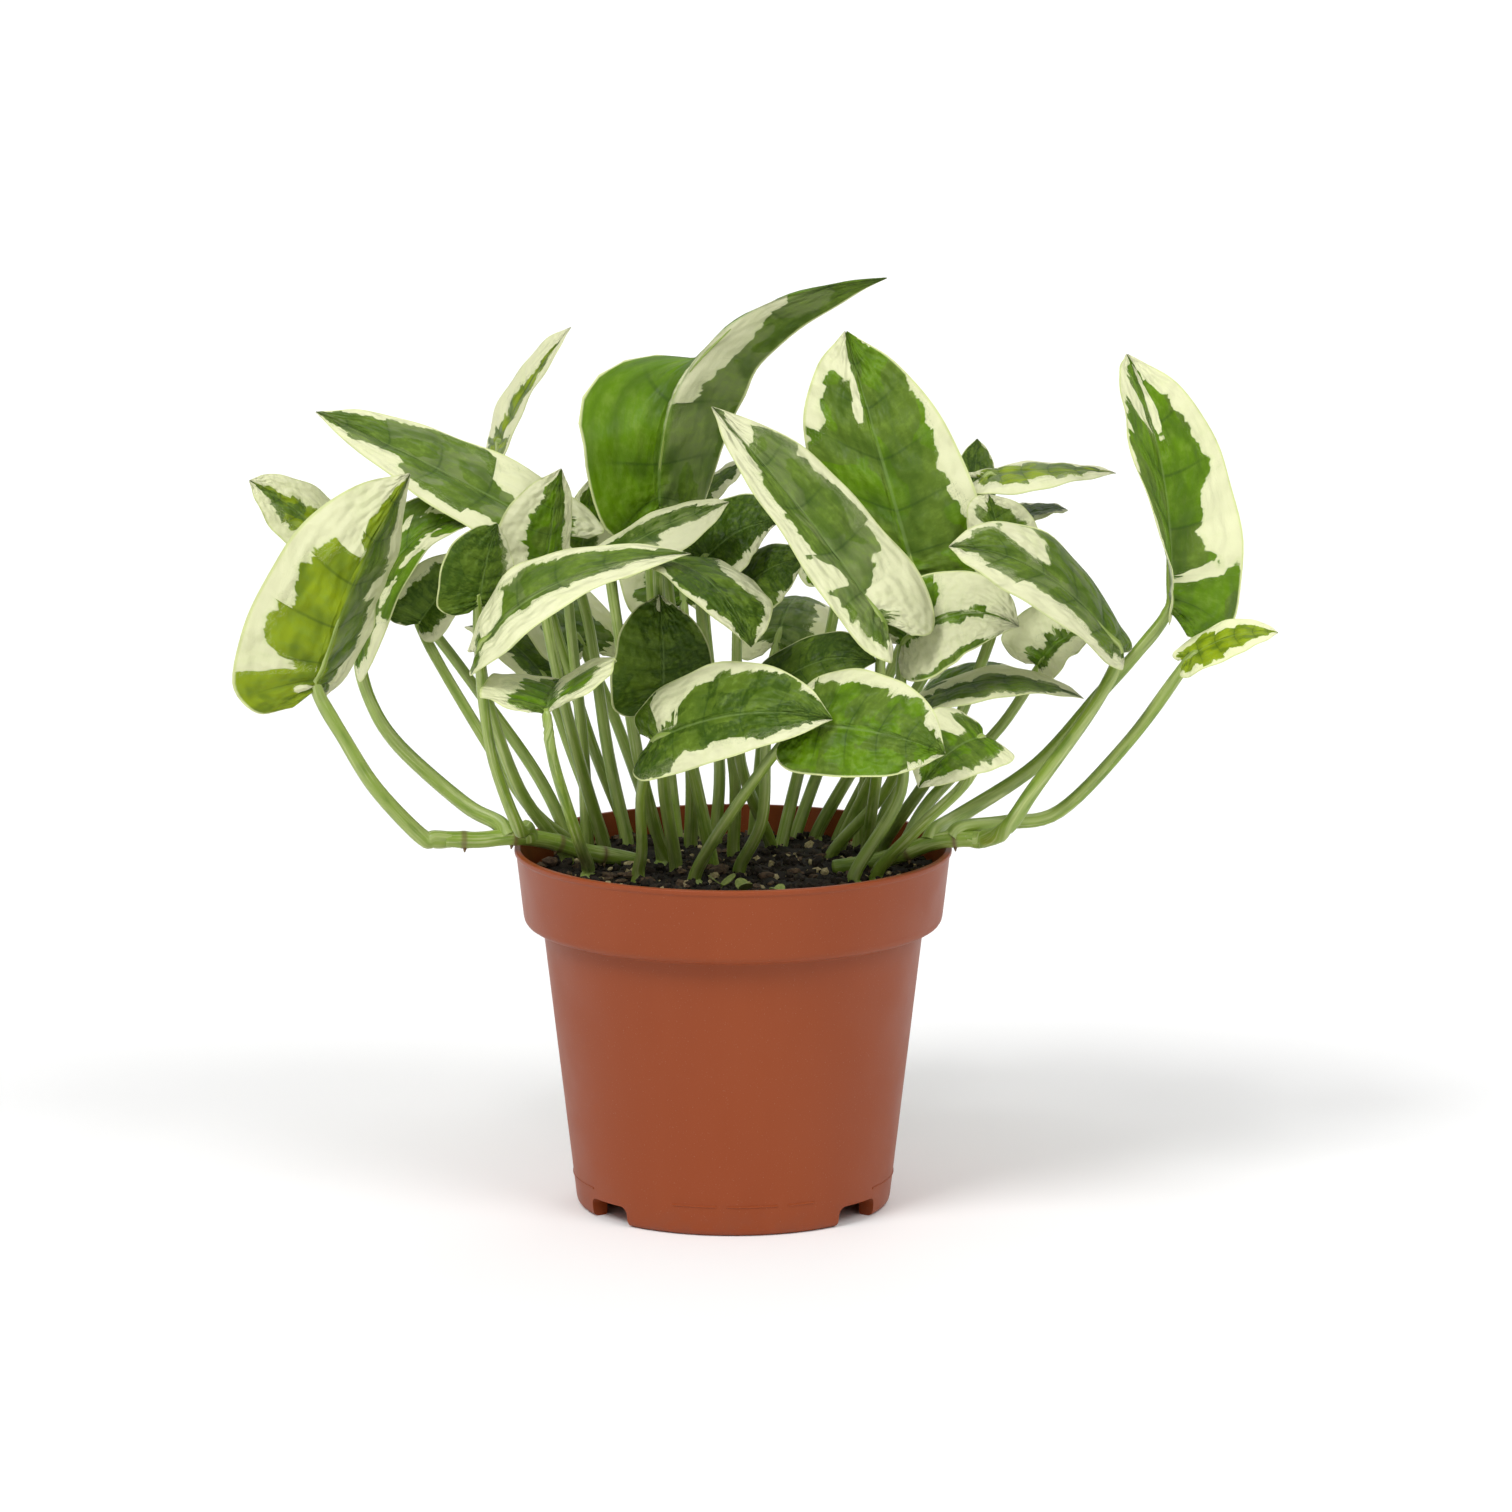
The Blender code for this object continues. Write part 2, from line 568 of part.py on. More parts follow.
def blade_mesh(name, blade):
    """The middle surface as a sheet: two halves that share the midrib."""
    bm = bmesh.new()
    ribs = [bm.verts.new(blade.rib(a)) for a, _, _ in OUTLINE]
    tip = bm.verts.new(blade.tip)
    for which in (0, 1):
        rows = []
        for place, rib in enumerate(ribs):
            a, x, y = blade.outline(place)
            row = [rib]
            for share in ACROSS_STEPS:
                along = a + (y - a) * share ** 1.3
                row.append(bm.verts.new(blade.point(which, x * share, along)))
            rows.append(row)
        for low, high in zip(rows, rows[1:]):
            for k in range(len(ACROSS_STEPS)):
                corners = [low[k], low[k + 1], high[k + 1], high[k]]
                if which == 0:
                    corners.reverse()
                bm.faces.new(corners)
        for k in range(len(ACROSS_STEPS)):
            corners = [rows[-1][k], rows[-1][k + 1], tip]
            if which == 0:
                corners.reverse()
            bm.faces.new(corners)
    bmesh.ops.triangulate(bm, faces=bm.faces)
    mesh = bpy.data.meshes.new(name)
    bm.to_mesh(mesh)
    bm.free()
    return mesh


def make_leaf(row, collection, cutters, material):
    name = row["name"]
    blade = Blade(row)
    leaf = link_mesh(name, blade_mesh(name, blade), collection, material)
    skin = leaf.modifiers.new("Thickness", "SOLIDIFY")
    skin.thickness = BLADE_THICKNESS
    skin.offset = 0.0
    stout = row.get("stout", 1.0)
    via = [leaf_point(p) for p in row["via"]]
    start, above = stalk_foot(row["foot"], via[0], stout)
    inside = blade.rib(0.10) - blade.normal(0.10) * 0.0004
    points = [start, above] + via + [blade.base, inside]
    points[-2] = blade.base - blade.normal(0.0) * 0.0006
    path = smooth_path(points, 2)
    del path[1]
    count = len(path) - 1
    radii = []
    for i in range(count + 1):
        share = i / count
        radius = STALK_FOOT_RADIUS + (STALK_TOP_RADIUS - STALK_FOOT_RADIUS) * share
        radii.append(radius * stout)
    radii[-1] = 0.5 * STALK_TOP_RADIUS
    stalk = link_mesh(name + "_stalk", tube_mesh(name + "_stalk", path, radii), cutters)
    add_cut(leaf, hide_cutter(stalk), "UNION")
    return leaf


def main():
    clear_scene()
    plant = new_collection("potted_pothos")
    cutters = new_collection("cutters")
    make_pot(plant, cutters)
    make_soil(plant)
    for name in STEMS:
        make_stem(name, plant)
    material = leaf_material()
    for row in LEAVES:
        make_leaf(row, plant, cutters, material)


main()
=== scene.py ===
"""Potted pothos: a variegated houseplant in a terracotta-coloured plastic nursery pot.

Everything is in metres, +Z up, with the pot's axis on the Z axis and the pot standing on Z = 0.
"""

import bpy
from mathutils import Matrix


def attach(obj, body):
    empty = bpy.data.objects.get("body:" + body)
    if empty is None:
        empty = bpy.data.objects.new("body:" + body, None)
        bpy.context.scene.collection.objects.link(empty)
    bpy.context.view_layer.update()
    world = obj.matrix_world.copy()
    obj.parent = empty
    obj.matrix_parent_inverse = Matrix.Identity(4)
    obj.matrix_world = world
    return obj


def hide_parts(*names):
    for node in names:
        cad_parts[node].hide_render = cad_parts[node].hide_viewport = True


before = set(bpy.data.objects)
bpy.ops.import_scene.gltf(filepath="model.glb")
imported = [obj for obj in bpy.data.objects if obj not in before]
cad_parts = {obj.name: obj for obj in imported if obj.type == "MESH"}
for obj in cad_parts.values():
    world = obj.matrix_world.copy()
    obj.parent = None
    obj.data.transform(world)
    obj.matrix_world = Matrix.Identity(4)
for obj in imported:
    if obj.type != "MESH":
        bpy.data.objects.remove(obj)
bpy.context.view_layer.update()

import math
import random

import bmesh
import bpy
import numpy as np
from bpy.props import FloatProperty, FloatVectorProperty, IntProperty, PointerProperty
from mathutils import Quaternion, Vector, noise

bl_info = {
    "name": "Potted Pothos",
    "version": (1, 0, 0),
    "blender": (4, 5, 0),
    "location": "3D View > Sidebar > Pothos",
    "description": "Builds a variegated pothos plant in a plastic nursery pot",
    "category": "Add Mesh",
}

MM = 0.001
UP = Vector((0, 0, 1))

# Sizes of the pot, the soil, the stems and the leaf stalks
POT_HEIGHT = 0.100
RIM_RADIUS = 0.060
BAND_HEIGHT = 0.021
BODY_TOP_RADIUS = 0.0526
FOOT_RADIUS = 0.0433
WALL = 0.0013
FOOT_WALL = 0.0045
FLOOR_RAISE = 0.0064
PAD_RADIUS = 0.024
PAD_CONE_RADIUS = PAD_RADIUS + 0.8 * FLOOR_RAISE
SHOULDER_HEIGHT = POT_HEIGHT - BAND_HEIGHT
SHOULDER_RADIUS = RIM_RADIUS - 0.0024
FLOOR_HEIGHT = FLOOR_RAISE + WALL
NOTCH_WIDTH = 0.0155
NOTCH_HEIGHT = 0.0056
DRAIN_RADIUS = 0.0026
MOULD_LINE_HEIGHT = 0.0085
SOIL_LEVEL = 0.093
SOIL_GAP = 0.0006
SOIL_LIFT = 0.0005
STEM_RADIUS = 0.0024
JOINT_SPACING = 0.014
STALK_FOOT_RADIUS = 0.0020
STALK_TOP_RADIUS = 0.0013
MIDRIB_DEPTH = 0.0003

# Stems, from the soil outwards over the rim: x and y from the pot's axis, and height above the
# rim, in millimetres. A height of None lies on the soil.
STEMS = {
    "stem_left": [(-26, 11, None), (-33, 8, None), (-41, 4, -2.3), (-49, 0, 1.1),
                  (-56, -4, 3.3), (-62, -6, 3.9), (-70, -7, 3.3), (-79, -8, 3.7)],
    "stem_right": [(28, 3, None), (38, 0, None), (47, -4, -1.1), (54, -6, 2.1), (60, -7, 3.5),
                   (66, -8, 3.7)],
}

# Leaves, in millimetres: x and y from the pot's axis, z above the soil's surface.
# foot: (x, y) on the soil, or a stem's name and the number of the stem point that it grows from.
# via: points that the stalk passes. base, mid, tip: the midrib. left, right: the widest points
# of the two halves, seen from the upper face with the tip upwards. cup: how far the edges rise.
# Where a leaf needs them, twist, fold: how many degrees each half turns about the midrib towards
# the tip and the base. slim: how much narrower the blade's base is. stout: how thick the stalk is.
LEAF_KEYS = ("foot", "via", "base", "mid", "tip", "left", "right", "cup")
LEAVES = {
    1: (("stem_left", 7), [(-86, -9, 12), (-98, -13, 26), (-106, -17, 40)], (-113, -22, 55),
         (-103, -22, 84), (-88, -4, 112), (-132, -32, 78), (-95, 4, 81), 0.05, dict(stout=1.3)),
    2: (("stem_left", 5), [(-74, 0, 19), (-92, 6, 34), (-100, 9, 46)], (-104, 12, 59),
         (-90, 16, 88), (-68, 22, 94), (-90, 26, 101), (-86, 4, 86), -0.05, dict(stout=1.2)),
    3: ((-46, 29), [(-54, 30, 20), (-68, 33, 40), (-88, 35, 66)], (-106, 34, 82), (-120, 30, 95),
         (-134, 26, 105), (-126, 18, 91), (-113, 44, 98), -0.05, {}),
    4: ((-41, 31), [(-42, 30, 29), (-45, 26, 62)], (-48, 23, 90), (-82, 28, 108), (-116, 34, 123),
         (-81, 12, 100), (-75, 42, 116), -0.08, {}),
    5: ((-36, 20), [(-43, 4, 32), (-49, -2, 59)], (-52, 0, 78), (-50, 1, 94), (-47, 4, 112),
         (-67, -8, 94), (-44, 9, 95), 0.05, {}),
    6: ((-30, 32), [(-35, 32, 27), (-40, 35, 61)], (-44, 38, 78), (-41, 41, 90), (-39, 43, 104),
         (-48, 38, 92), (-33, 50, 91), 0.05, {}),
    7: ((-30, 40), [(-40, 36, 30), (-54, 46, 74)], (-66, 54, 108), (-58, 50, 126), (-45, 46, 145),
         (-66, 64, 120), (-56, 38, 126), 0.0, {}),
    8: ((-12, 28), [(-12, 20, 29), (-17, 19, 68)], (-20, 20, 95), (-7, 18, 144), (43, 30, 161),
         (-42, 9, 120), (6, 34, 131), 0.0, dict(twist=(-120, 0), slim=0.7)),
    9: ((30, 24), [(41, 8, 31), (47, 3, 57)], (51, 4, 79), (41, 12, 113), (31, 26, 147),
         (18, 20, 117), (66, 10, 107), 0.0, {}),
    10: ((37, 14), [(40, -16, 36), (40, -30, 64)], (41, -36, 76), (18, -26, 106), (-6, -8, 131),
         (15, -40, 98), (44, -14, 96), -0.05, {}),
    11: (("stem_left", 4), [(-59, -16, 16), (-66, -28, 40)], (-69, -38, 68), (-47, -43, 88),
         (-11, -30, 94), (-59, -25, 90), (-52, -56, 80), -0.05, dict(slim=0.7, stout=1.1)),
    12: ((-47, 12), [(-59, -3, 24), (-68, -12, 54)], (-69, -20, 78), (-67, -19, 90),
         (-64, -16, 100), (-80, -26, 88), (-60, -10, 88), 0.05, {}),
    13: ((-44, 19), [(-57, 10, 17), (-76, 12, 47)], (-87, 18, 66), (-80, 20, 75), (-70, 22, 85),
         (-94, 20, 76), (-77, 14, 68), 0.0, {}),
    14: ((-40, -6), [(-42, -24, 13), (-48, -51, 40)], (-50, -56, 55), (-49, -39, 57),
         (-47, -22, 58), (-68, -50, 60), (-31, -46, 68), 0.0, {}),
    15: ((-20, 14), [(-26, -2, 32), (-31, -2, 65)], (-34, -1, 88), (-17, 1, 97), (-1, 1, 103),
         (-20, 11, 100), (-12, -7, 92), -0.08, {}),
    16: ((0, 20), [(0, 12, 29), (-8, 12, 63)], (-9, 12, 84), (2, 13, 93), (12, 12, 95),
         (1, 24, 103), (5, 0, 87), -0.08, {}),
    17: ((-5, 40), [(-4, 38, 25), (-8, 42, 64)], (-9, 42, 97), (-3, 43, 103), (4, 44, 108),
         (-7, 50, 102), (0, 37, 102), 0.0, {}),
    18: ((-6, 2), [(-12, -4, 34), (-19, -9, 68)], (-20, -19, 91), (-5, -36, 86), (5, -46, 71),
         (11, -26, 82), (-13, -46, 86), -0.05, {}),
    19: ((-16, 0), [(-19, -13, 26), (-19, -16, 41)], (-19, -19, 52), (-19, -22, 66), (-20, -19, 81),
         (-34, -30, 68), (-6, -16, 66), 0.1, {}),
    20: ((-26, -13), [(-25, -18, 10), (-25, -29, 28)], (-22, -39, 44), (2, -53, 54), (27, -60, 54),
         (1, -39, 67), (1, -62, 44), -0.05, {}),
    21: ((-10, -14), [(-2, -30, 20), (10, -44, 40)], (18, -52, 51), (39, -64, 51), (57, -68, 46),
         (36, -46, 65), (29, -68, 40), -0.05, {}),
    22: ((2, -6), [(8, -16, 18), (9, -20, 41)], (10, -24, 55), (24, -28, 64), (39, -34, 65),
         (21, -18, 70), (26, -36, 57), -0.05, {}),
    23: ((40, -12), [(52, -22, 18), (64, -31, 32)], (68, -38, 45), (59, -48, 43), (50, -54, 34),
         (68, -54, 38), (53, -38, 52), -0.05, {}),
    24: ((28, 16), [(42, 8, 21), (49, -3, 40)], (53, -12, 50), (74, -13, 56), (96, -14, 51),
         (73, 0, 58), (74, -26, 54), -0.05, {}),
    25: ((34, -12), [(46, -9, 24), (46, -13, 48)], (46, -15, 66), (62, -17, 75), (78, -20, 72),
         (61, -5, 86), (62, -30, 64), 0.0, {}),
    26: (("stem_right", 5), [(75, -14, 15), (83, -11, 26), (99, -12, 49)], (106, -16, 64),
         (84, -32, 89), (58, -42, 98), (76, -48, 86), (96, -8, 88), -0.08,
         dict(slim=0.5, stout=1.3)),
    27: (("stem_right", 2), [(55, 12, 18), (74, 9, 39)], (84, 4, 57), (91, 6, 64), (100, 8, 66),
         (85, 14, 74), (93, -6, 61), 0.0, {}),
    28: ((42, 26), [(57, 8, 30), (69, 3, 60)], (76, 2, 82), (73, 2, 94), (70, 3, 105), (63, 0, 100),
         (86, 12, 88), 0.0, {}),
    29: ((35, 33), [(41, 26, 44), (59, 27, 83)], (69, 24, 106), (87, 25, 108), (106, 26, 107),
         (84, 38, 109), (84, 10, 106), -0.08, {}),
    30: ((30, 42), [(46, 34, 36), (67, 36, 72)], (77, 32, 93), (86, 34, 95), (93, 36, 95),
         (85, 44, 96), (85, 22, 95), 0.0, {}),
    31: ((24, 46), [(41, 44, 34), (58, 46, 71)], (65, 44, 91), (67, 46, 102), (68, 50, 113),
         (60, 42, 103), (74, 54, 102), 0.0, {}),
    32: (("stem_right", 3), [(64, 8, 15), (84, 6, 29), (101, 0, 50), (111, 2, 61)], (120, 3, 72),
         (118, 8, 109), (108, 16, 142), (106, -6, 124), (139, 20, 102), 0.0,
         dict(fold=(25, 0), stout=1.2)),
    33: (("stem_right", 4), [(75, -1, 14), (90, 0, 17), (109, -5, 38)], (124, -9, 61),
         (137, -11, 68), (149, -12, 69), (134, -3, 70), (138, -21, 64), 0.05, dict(stout=1.2)),
    34: ((10, 28), [(2, 4, 30), (1, 6, 58)], (1, 8, 74), (9, 6, 83), (20, 2, 87), (5, 16, 87),
         (14, -6, 77), -0.05, {}),
    35: ((-22, 42), [(-34, 50, 35)], (-42, 56, 53), (-56, 74, 65), (-68, 92, 57), (-63, 57, 63),
         (-37, 75, 63), -0.08, {}),
    36: ((-10, 46), [(-13, 52, 39)], (-14, 60, 65), (-18, 80, 75), (-20, 100, 65), (-32, 67, 70),
         (0, 73, 70), -0.08, {}),
    37: ((6, 48), [(9, 54, 35)], (12, 60, 53), (18, 78, 63), (24, 95, 53), (2, 74, 58),
         (27, 68, 58), -0.08, {}),
    38: ((18, 44), [(31, 52, 37)], (41, 60, 61), (55, 75, 73), (67, 88, 65), (38, 78, 67),
         (60, 56, 67), -0.08, {}),
    39: ((40, 36), [(50, 42, 26)], (58, 46, 42), (71, 56, 48), (84, 66, 41), (60, 62, 46),
         (72, 42, 46), -0.08, {}),
    40: ((-37, 40), [(-46, 42, 27)], (-52, 46, 45), (-64, 55, 55), (-76, 64, 57), (-66, 44, 53),
         (-53, 62, 53), -0.08, {}),
    41: ((14, 34), [(24, 42, 44)], (30, 48, 75), (40, 60, 97), (48, 68, 111), (25, 64, 92),
         (47, 46, 90), 0.0, {}),
    42: ((-16, 38), [(-22, 50, 57)], (-24, 54, 87), (-22, 66, 107), (-16, 78, 121), (-37, 60, 101),
         (-9, 64, 99), 0.0, {}),
}

# A half blade's outline: where the side vein leaves the midrib, and where it meets the edge,
# as shares of the half's width and of the midrib's length.
OUTLINE = [
    (0.00, 0.24, -0.09),
    (0.02, 0.60, -0.12),
    (0.05, 0.93, -0.02),
    (0.13, 1.00, 0.20),
    (0.30, 0.95, 0.44),
    (0.50, 0.79, 0.65),
    (0.70, 0.47, 0.84),
    (0.87, 0.15, 0.95),
]

# How each leaf is painted. left, right: how far the green reaches from the midrib, as shares of
# the half's width, near the base, in the middle and near the tip. greens: the main and second
# green, or both for the left half and then both for the right half. The fourth value is the
# leaf's painted light level, a multiplier on its colour: painted shade below 1, mostly on leaves
# inside the plant, and painted light above 1.
# patches: L or R for the half and g or c for green or cream, place along the outline, place
# across, half length, half width.
PAINT_KEYS = ("left", "right", "greens", "painted_light_level", "patches")
PAINT = {
    1: ((1.35, 0.66, 0.25), (0.7, 0.7, 0.6), "llgm", 1.0, [("Lc", 0.34, 0.85, 0.045, 0.7),
         ("Lc", 0.64, 1.0, 0.2, 0.36), ("Lc", 0.7, 0.42, 0.03, 0.36),
         ("Lg", 0.85, 0.25, 0.12, 0.3), ("Lc", 0.16, 0.25, 0.05, 0.14),
         ("Rc", 0.2, 0.8, 0.14, 0.4), ("Rc", 0.55, 0.85, 0.05, 0.6)]),
    2: ((0.8, 0.45, 0.3), (0.8, 0.55, 0.35), "fm", 1.0, [("Lg", 0.55, 0.8, 0.12, 0.34),
         ("Rg", 0.45, 0.9, 0.12, 0.3), ("Lg", 0.24, 0.8, 0.09, 0.3),
         ("Rg", 0.72, 0.7, 0.08, 0.3), ("Lc", 0.4, 0.5, 0.05, 0.5)]),
    3: ((0.9, 0.6, 0.45), (0.55, 0.45, 0.4), "ml", 1.0, []),
    4: ((0.6, 0.78, 0.85), (0.5, 0.8, 0.85), "mg", 1.05, [("Rc", 0.34, 0.6, 0.12, 0.45),
         ("Lc", 0.7, 0.75, 0.06, 0.35)]),
    5: ((0.35, 0.5, 0.6), (0.7, 0.65, 0.7), "fm", 0.95, [("Lc", 0.3, 0.7, 0.1, 0.3)]),
    6: ((0.8, 0.8, 0.8), (0.3, 0.4, 0.5), "fm", 1.0, []),
    7: ((1.2, 0.35, 0.1), (0.9, 0.7, 0.45), "lg", 1.0, [("Rc", 0.42, 0.6, 0.06, 0.5),
         ("Lc", 0.3, 0.7, 0.05, 0.4)]),
    8: ((1.4, 1.4, 1.25), (1.3, 1.2, 1.25), "ffgm", 0.98, [("Rc", 0.62, 0.0, 0.16, 0.44)]),
    9: ((1.0, 0.98, 0.45), (0.7, 0.88, 1.2), "mf", 1.0, [("Lc", 0.84, 0.66, 0.08, 0.46),
         ("Lc", 0.77, 0.24, 0.07, 0.12), ("Rc", 0.5, 0.98, 0.1, 0.26),
         ("Rc", 0.15, 0.6, 0.08, 0.6)]),
    10: ((0.65, 0.72, 0.3), (0.15, 0.7, 0.95), "gm", 1.0, [("Rc", 0.26, 0.55, 0.15, 0.6),
         ("Lc", 0.42, 0.65, 0.04, 0.4), ("Rc", 0.86, 0.35, 0.07, 0.7)]),
    11: ((0.12, 0.8, 0.92), (0.3, 0.35, 0.3), "gm", 1.05, [("Rg", 0.16, 0.55, 0.14, 0.4),
         ("Lc", 0.34, 0.3, 0.08, 0.5)]),
    12: ((1.2, 1.15, 0.95), (0.45, 0.75, 0.6), "dm", 0.95, []),
    13: ((0.95, 0.8, 0.8), (0.7, 0.7, 0.6), "md", 0.9, []),
    14: ((0.7, 0.6, 0.5), (0.12, 0.15, 0.12), "mf", 1.05, [("Rg", 0.42, 0.45, 0.2, 0.26),
         ("Lc", 0.3, 0.85, 0.12, 0.3)]),
    15: ((0.25, 0.7, 0.3), (0.5, 0.45, 0.6), "gd", 0.95, [("Rc", 0.6, 0.7, 0.12, 0.4)]),
    16: ((1.15, 1.15, 1.1), (0.9, 0.8, 0.8), "dd", 0.85, []),
    17: ((0.55, 0.6, 0.5), (0.6, 0.65, 0.6), "dm", 0.9, []),
    18: ((0.95, 0.75, 0.9), (0.88, 0.85, 0.92), "dm", 0.9, [("Lc", 0.48, 0.8, 0.12, 0.3)]),
    19: ((1.25, 1.2, 0.8), (1.25, 1.1, 0.8), "dm", 0.85, [("Lc", 0.92, 0.3, 0.08, 0.5)]),
    20: ((0.12, 0.8, 0.92), (1.1, 0.66, 0.7), "md", 1.0, [("Lg", 0.1, 0.75, 0.14, 0.42),
         ("Lc", 0.3, 0.55, 0.1, 0.55), ("Rc", 0.4, 0.85, 0.12, 0.26)]),
    21: ((0.95, 0.76, 0.85), (1.05, 1.05, 0.92), "mf", 1.0, [("Lc", 0.36, 0.9, 0.14, 0.22)]),
    22: ((1.2, 1.2, 1.1), (1.2, 1.1, 1.05), "dm", 0.9, []),
    23: ((0.55, 0.75, 0.5), (0.9, 0.55, 0.6), "mf", 1.0, [("Rc", 0.45, 0.6, 0.08, 0.4)]),
    24: ((0.2, 0.25, 0.2), (0.85, 0.82, 0.7), "mg", 1.0, [("Lg", 0.3, 0.7, 0.06, 0.2)]),
    25: ((0.15, 0.15, 0.1), (0.12, 0.1, 0.1), "fm", 1.0, [("Lg", 0.34, 0.5, 0.2, 0.46),
         ("Rg", 0.5, 0.98, 0.3, 0.14)]),
    26: ((0.6, 0.65, 0.7), (0.85, 1.05, 0.6), "mg", 1.0, [("Rc", 0.62, 0.7, 0.08, 0.45),
         ("Lc", 0.4, 0.85, 0.1, 0.3)]),
    27: ((0.3, 0.25, 0.2), (0.55, 0.35, 0.25), "fm", 1.0, []),
    28: ((0.5, 0.62, 0.5), (0.72, 0.78, 0.45), "md", 0.95, []),
    29: ((0.45, 0.6, 0.5), (0.5, 0.62, 0.5), "gl", 1.0, []),
    30: ((0.85, 0.85, 0.8), (0.8, 0.7, 0.7), "dm", 0.9, []),
    31: ((1.2, 1.1, 1.0), (1.1, 1.1, 1.0), "dm", 0.9, []),
    32: ((0.6, 0.95, 0.55), (1.3, 0.85, 0.4), "fmfm", 1.08, [("Rc", 0.46, 0.85, 0.1, 0.48),
         ("Rc", 0.36, 0.3, 0.03, 0.5), ("Rc", 0.7, 0.95, 0.14, 0.22),
         ("Rc", 0.8, 0.16, 0.13, 0.14), ("Lc", 0.72, 0.55, 0.05, 0.5)]),
    33: ((0.7, 0.6, 0.5), (0.85, 0.75, 0.6), "ll", 1.12, []),
    34: ((1.1, 1.05, 1.0), (1.0, 0.95, 0.9), "dm", 0.85, []),
    35: ((0.55, 0.7, 0.6), (0.7, 0.6, 0.55), "mg", 1.0, [("Lc", 0.45, 0.6, 0.08, 0.4)]),
    36: ((0.85, 0.6, 0.6), (0.45, 0.75, 0.8), "mf", 1.0, [("Rc", 0.3, 0.6, 0.1, 0.5)]),
    37: ((0.3, 0.55, 0.6), (0.8, 0.6, 0.45), "gm", 1.0, []),
    38: ((0.95, 0.8, 0.75), (0.5, 0.55, 0.7), "mg", 1.0, [("Lc", 0.62, 0.5, 0.08, 0.4)]),
    39: ((0.6, 0.65, 0.55), (0.25, 0.35, 0.4), "fm", 1.0, []),
    40: ((0.7, 0.55, 0.5), (0.9, 0.85, 0.7), "md", 1.0, []),
    41: ((1.0, 0.75, 0.7), (0.6, 0.8, 0.65), "mf", 1.0, []),
    42: ((0.35, 0.6, 0.6), (0.85, 0.65, 0.6), "mg", 1.0, []),
}

# The greens that leaves are painted in, as linear colours
GREENS = {
    "f": (0.132, 0.272, 0.001),
    "l": (0.300, 0.405, 0.008),
    "m": (0.124, 0.208, 0.018),
    "g": (0.200, 0.268, 0.078),
    "d": (0.056, 0.112, 0.007),
}

VEINS = 8.0
BLADE_ROWS = 46
HALF_COLUMNS = 13
STALK_SIDES = 12
STALK_STEPS = 7


# ---------------------------------------------------------------- settings


def colour_property(name, description, default):
    return FloatVectorProperty(name=name, description=description, subtype="COLOR", size=3,
                               min=0.0, max=1.0, default=default)


def length_property(name, description, default, low, high):
    return FloatProperty(name=name, description=description, default=default, min=low, max=high,
                         unit="LENGTH")


class PothosPotSettings(bpy.types.PropertyGroup):
    colour: colour_property("Pot colour", "Colour of the moulded plastic", (0.262, 0.048, 0.0075))
    round_steps: IntProperty(
        name="Round steps", description="How many sides the pot's rounds have",
        default=160, min=24, max=512)
    lip_round: length_property(
        "Lip rounding", "Radius of the rim's upper edge", 0.0006, 0.0001, 0.001)


class PothosSoilSettings(bpy.types.PropertyGroup):
    colour: colour_property("Soil colour", "Colour of the damp peat", (0.010, 0.007, 0.0045))
    lump_height: length_property(
        "Lumps", "How far the soil's surface rises and falls", 0.0022, 0.0, 0.003)
    crumbs: IntProperty(
        name="Crumbs", description="How many loose crumbs lie on the soil", default=1300, min=0)
    perlite: IntProperty(
        name="Perlite grains", description="How many white grains lie in the soil",
        default=190, min=0)


class PothosStemSettings(bpy.types.PropertyGroup):
    colour: colour_property("Stem colour", "Colour of stems and leaf stalks", (0.25, 0.37, 0.04))
    pale: colour_property(
        "Pale streaks", "Colour of the streaks along stems and stalks", (0.50, 0.58, 0.22))


class PothosLeafSettings(bpy.types.PropertyGroup):
    cream: colour_property("Cream", "Colour of the blades' light parts", (0.86, 0.87, 0.56))
    edge: colour_property("Edge", "Colour of the blades' thin edge", (0.74, 0.80, 0.38))
    thickness: length_property(
        "Blade thickness", "How thick a blade is away from its midrib", 0.00048, 0.0002, 0.001)
    relief: length_property(
        "Vein relief", "How far the blade rises between its side veins", 0.00095, 0.0, 0.002)
    ripple: length_property(
        "Edge ripple", "How far a blade's edge waves up and down", 0.0007, 0.0, 0.002)


class PothosStageSettings(bpy.types.PropertyGroup):
    distance: length_property(
        "Camera distance", "From the camera to the plant", 2.4, 0.5, 10.0)
    tilt: FloatProperty(
        name="Camera tilt", description="How far the camera looks down",
        default=math.radians(11.0), subtype="ANGLE")
    lens: FloatProperty(
        name="Lens", description="Focal length of the camera in millimetres", default=207.6)
    floor_colour: colour_property("Floor colour", "Colour of the floor", (0.93, 0.93, 0.93))


SETTINGS = {
    "pothos_pot": PothosPotSettings,
    "pothos_soil": PothosSoilSettings,
    "pothos_stems": PothosStemSettings,
    "pothos_leaves": PothosLeafSettings,
    "pothos_stage": PothosStageSettings,
}


# ---------------------------------------------------------------- materials


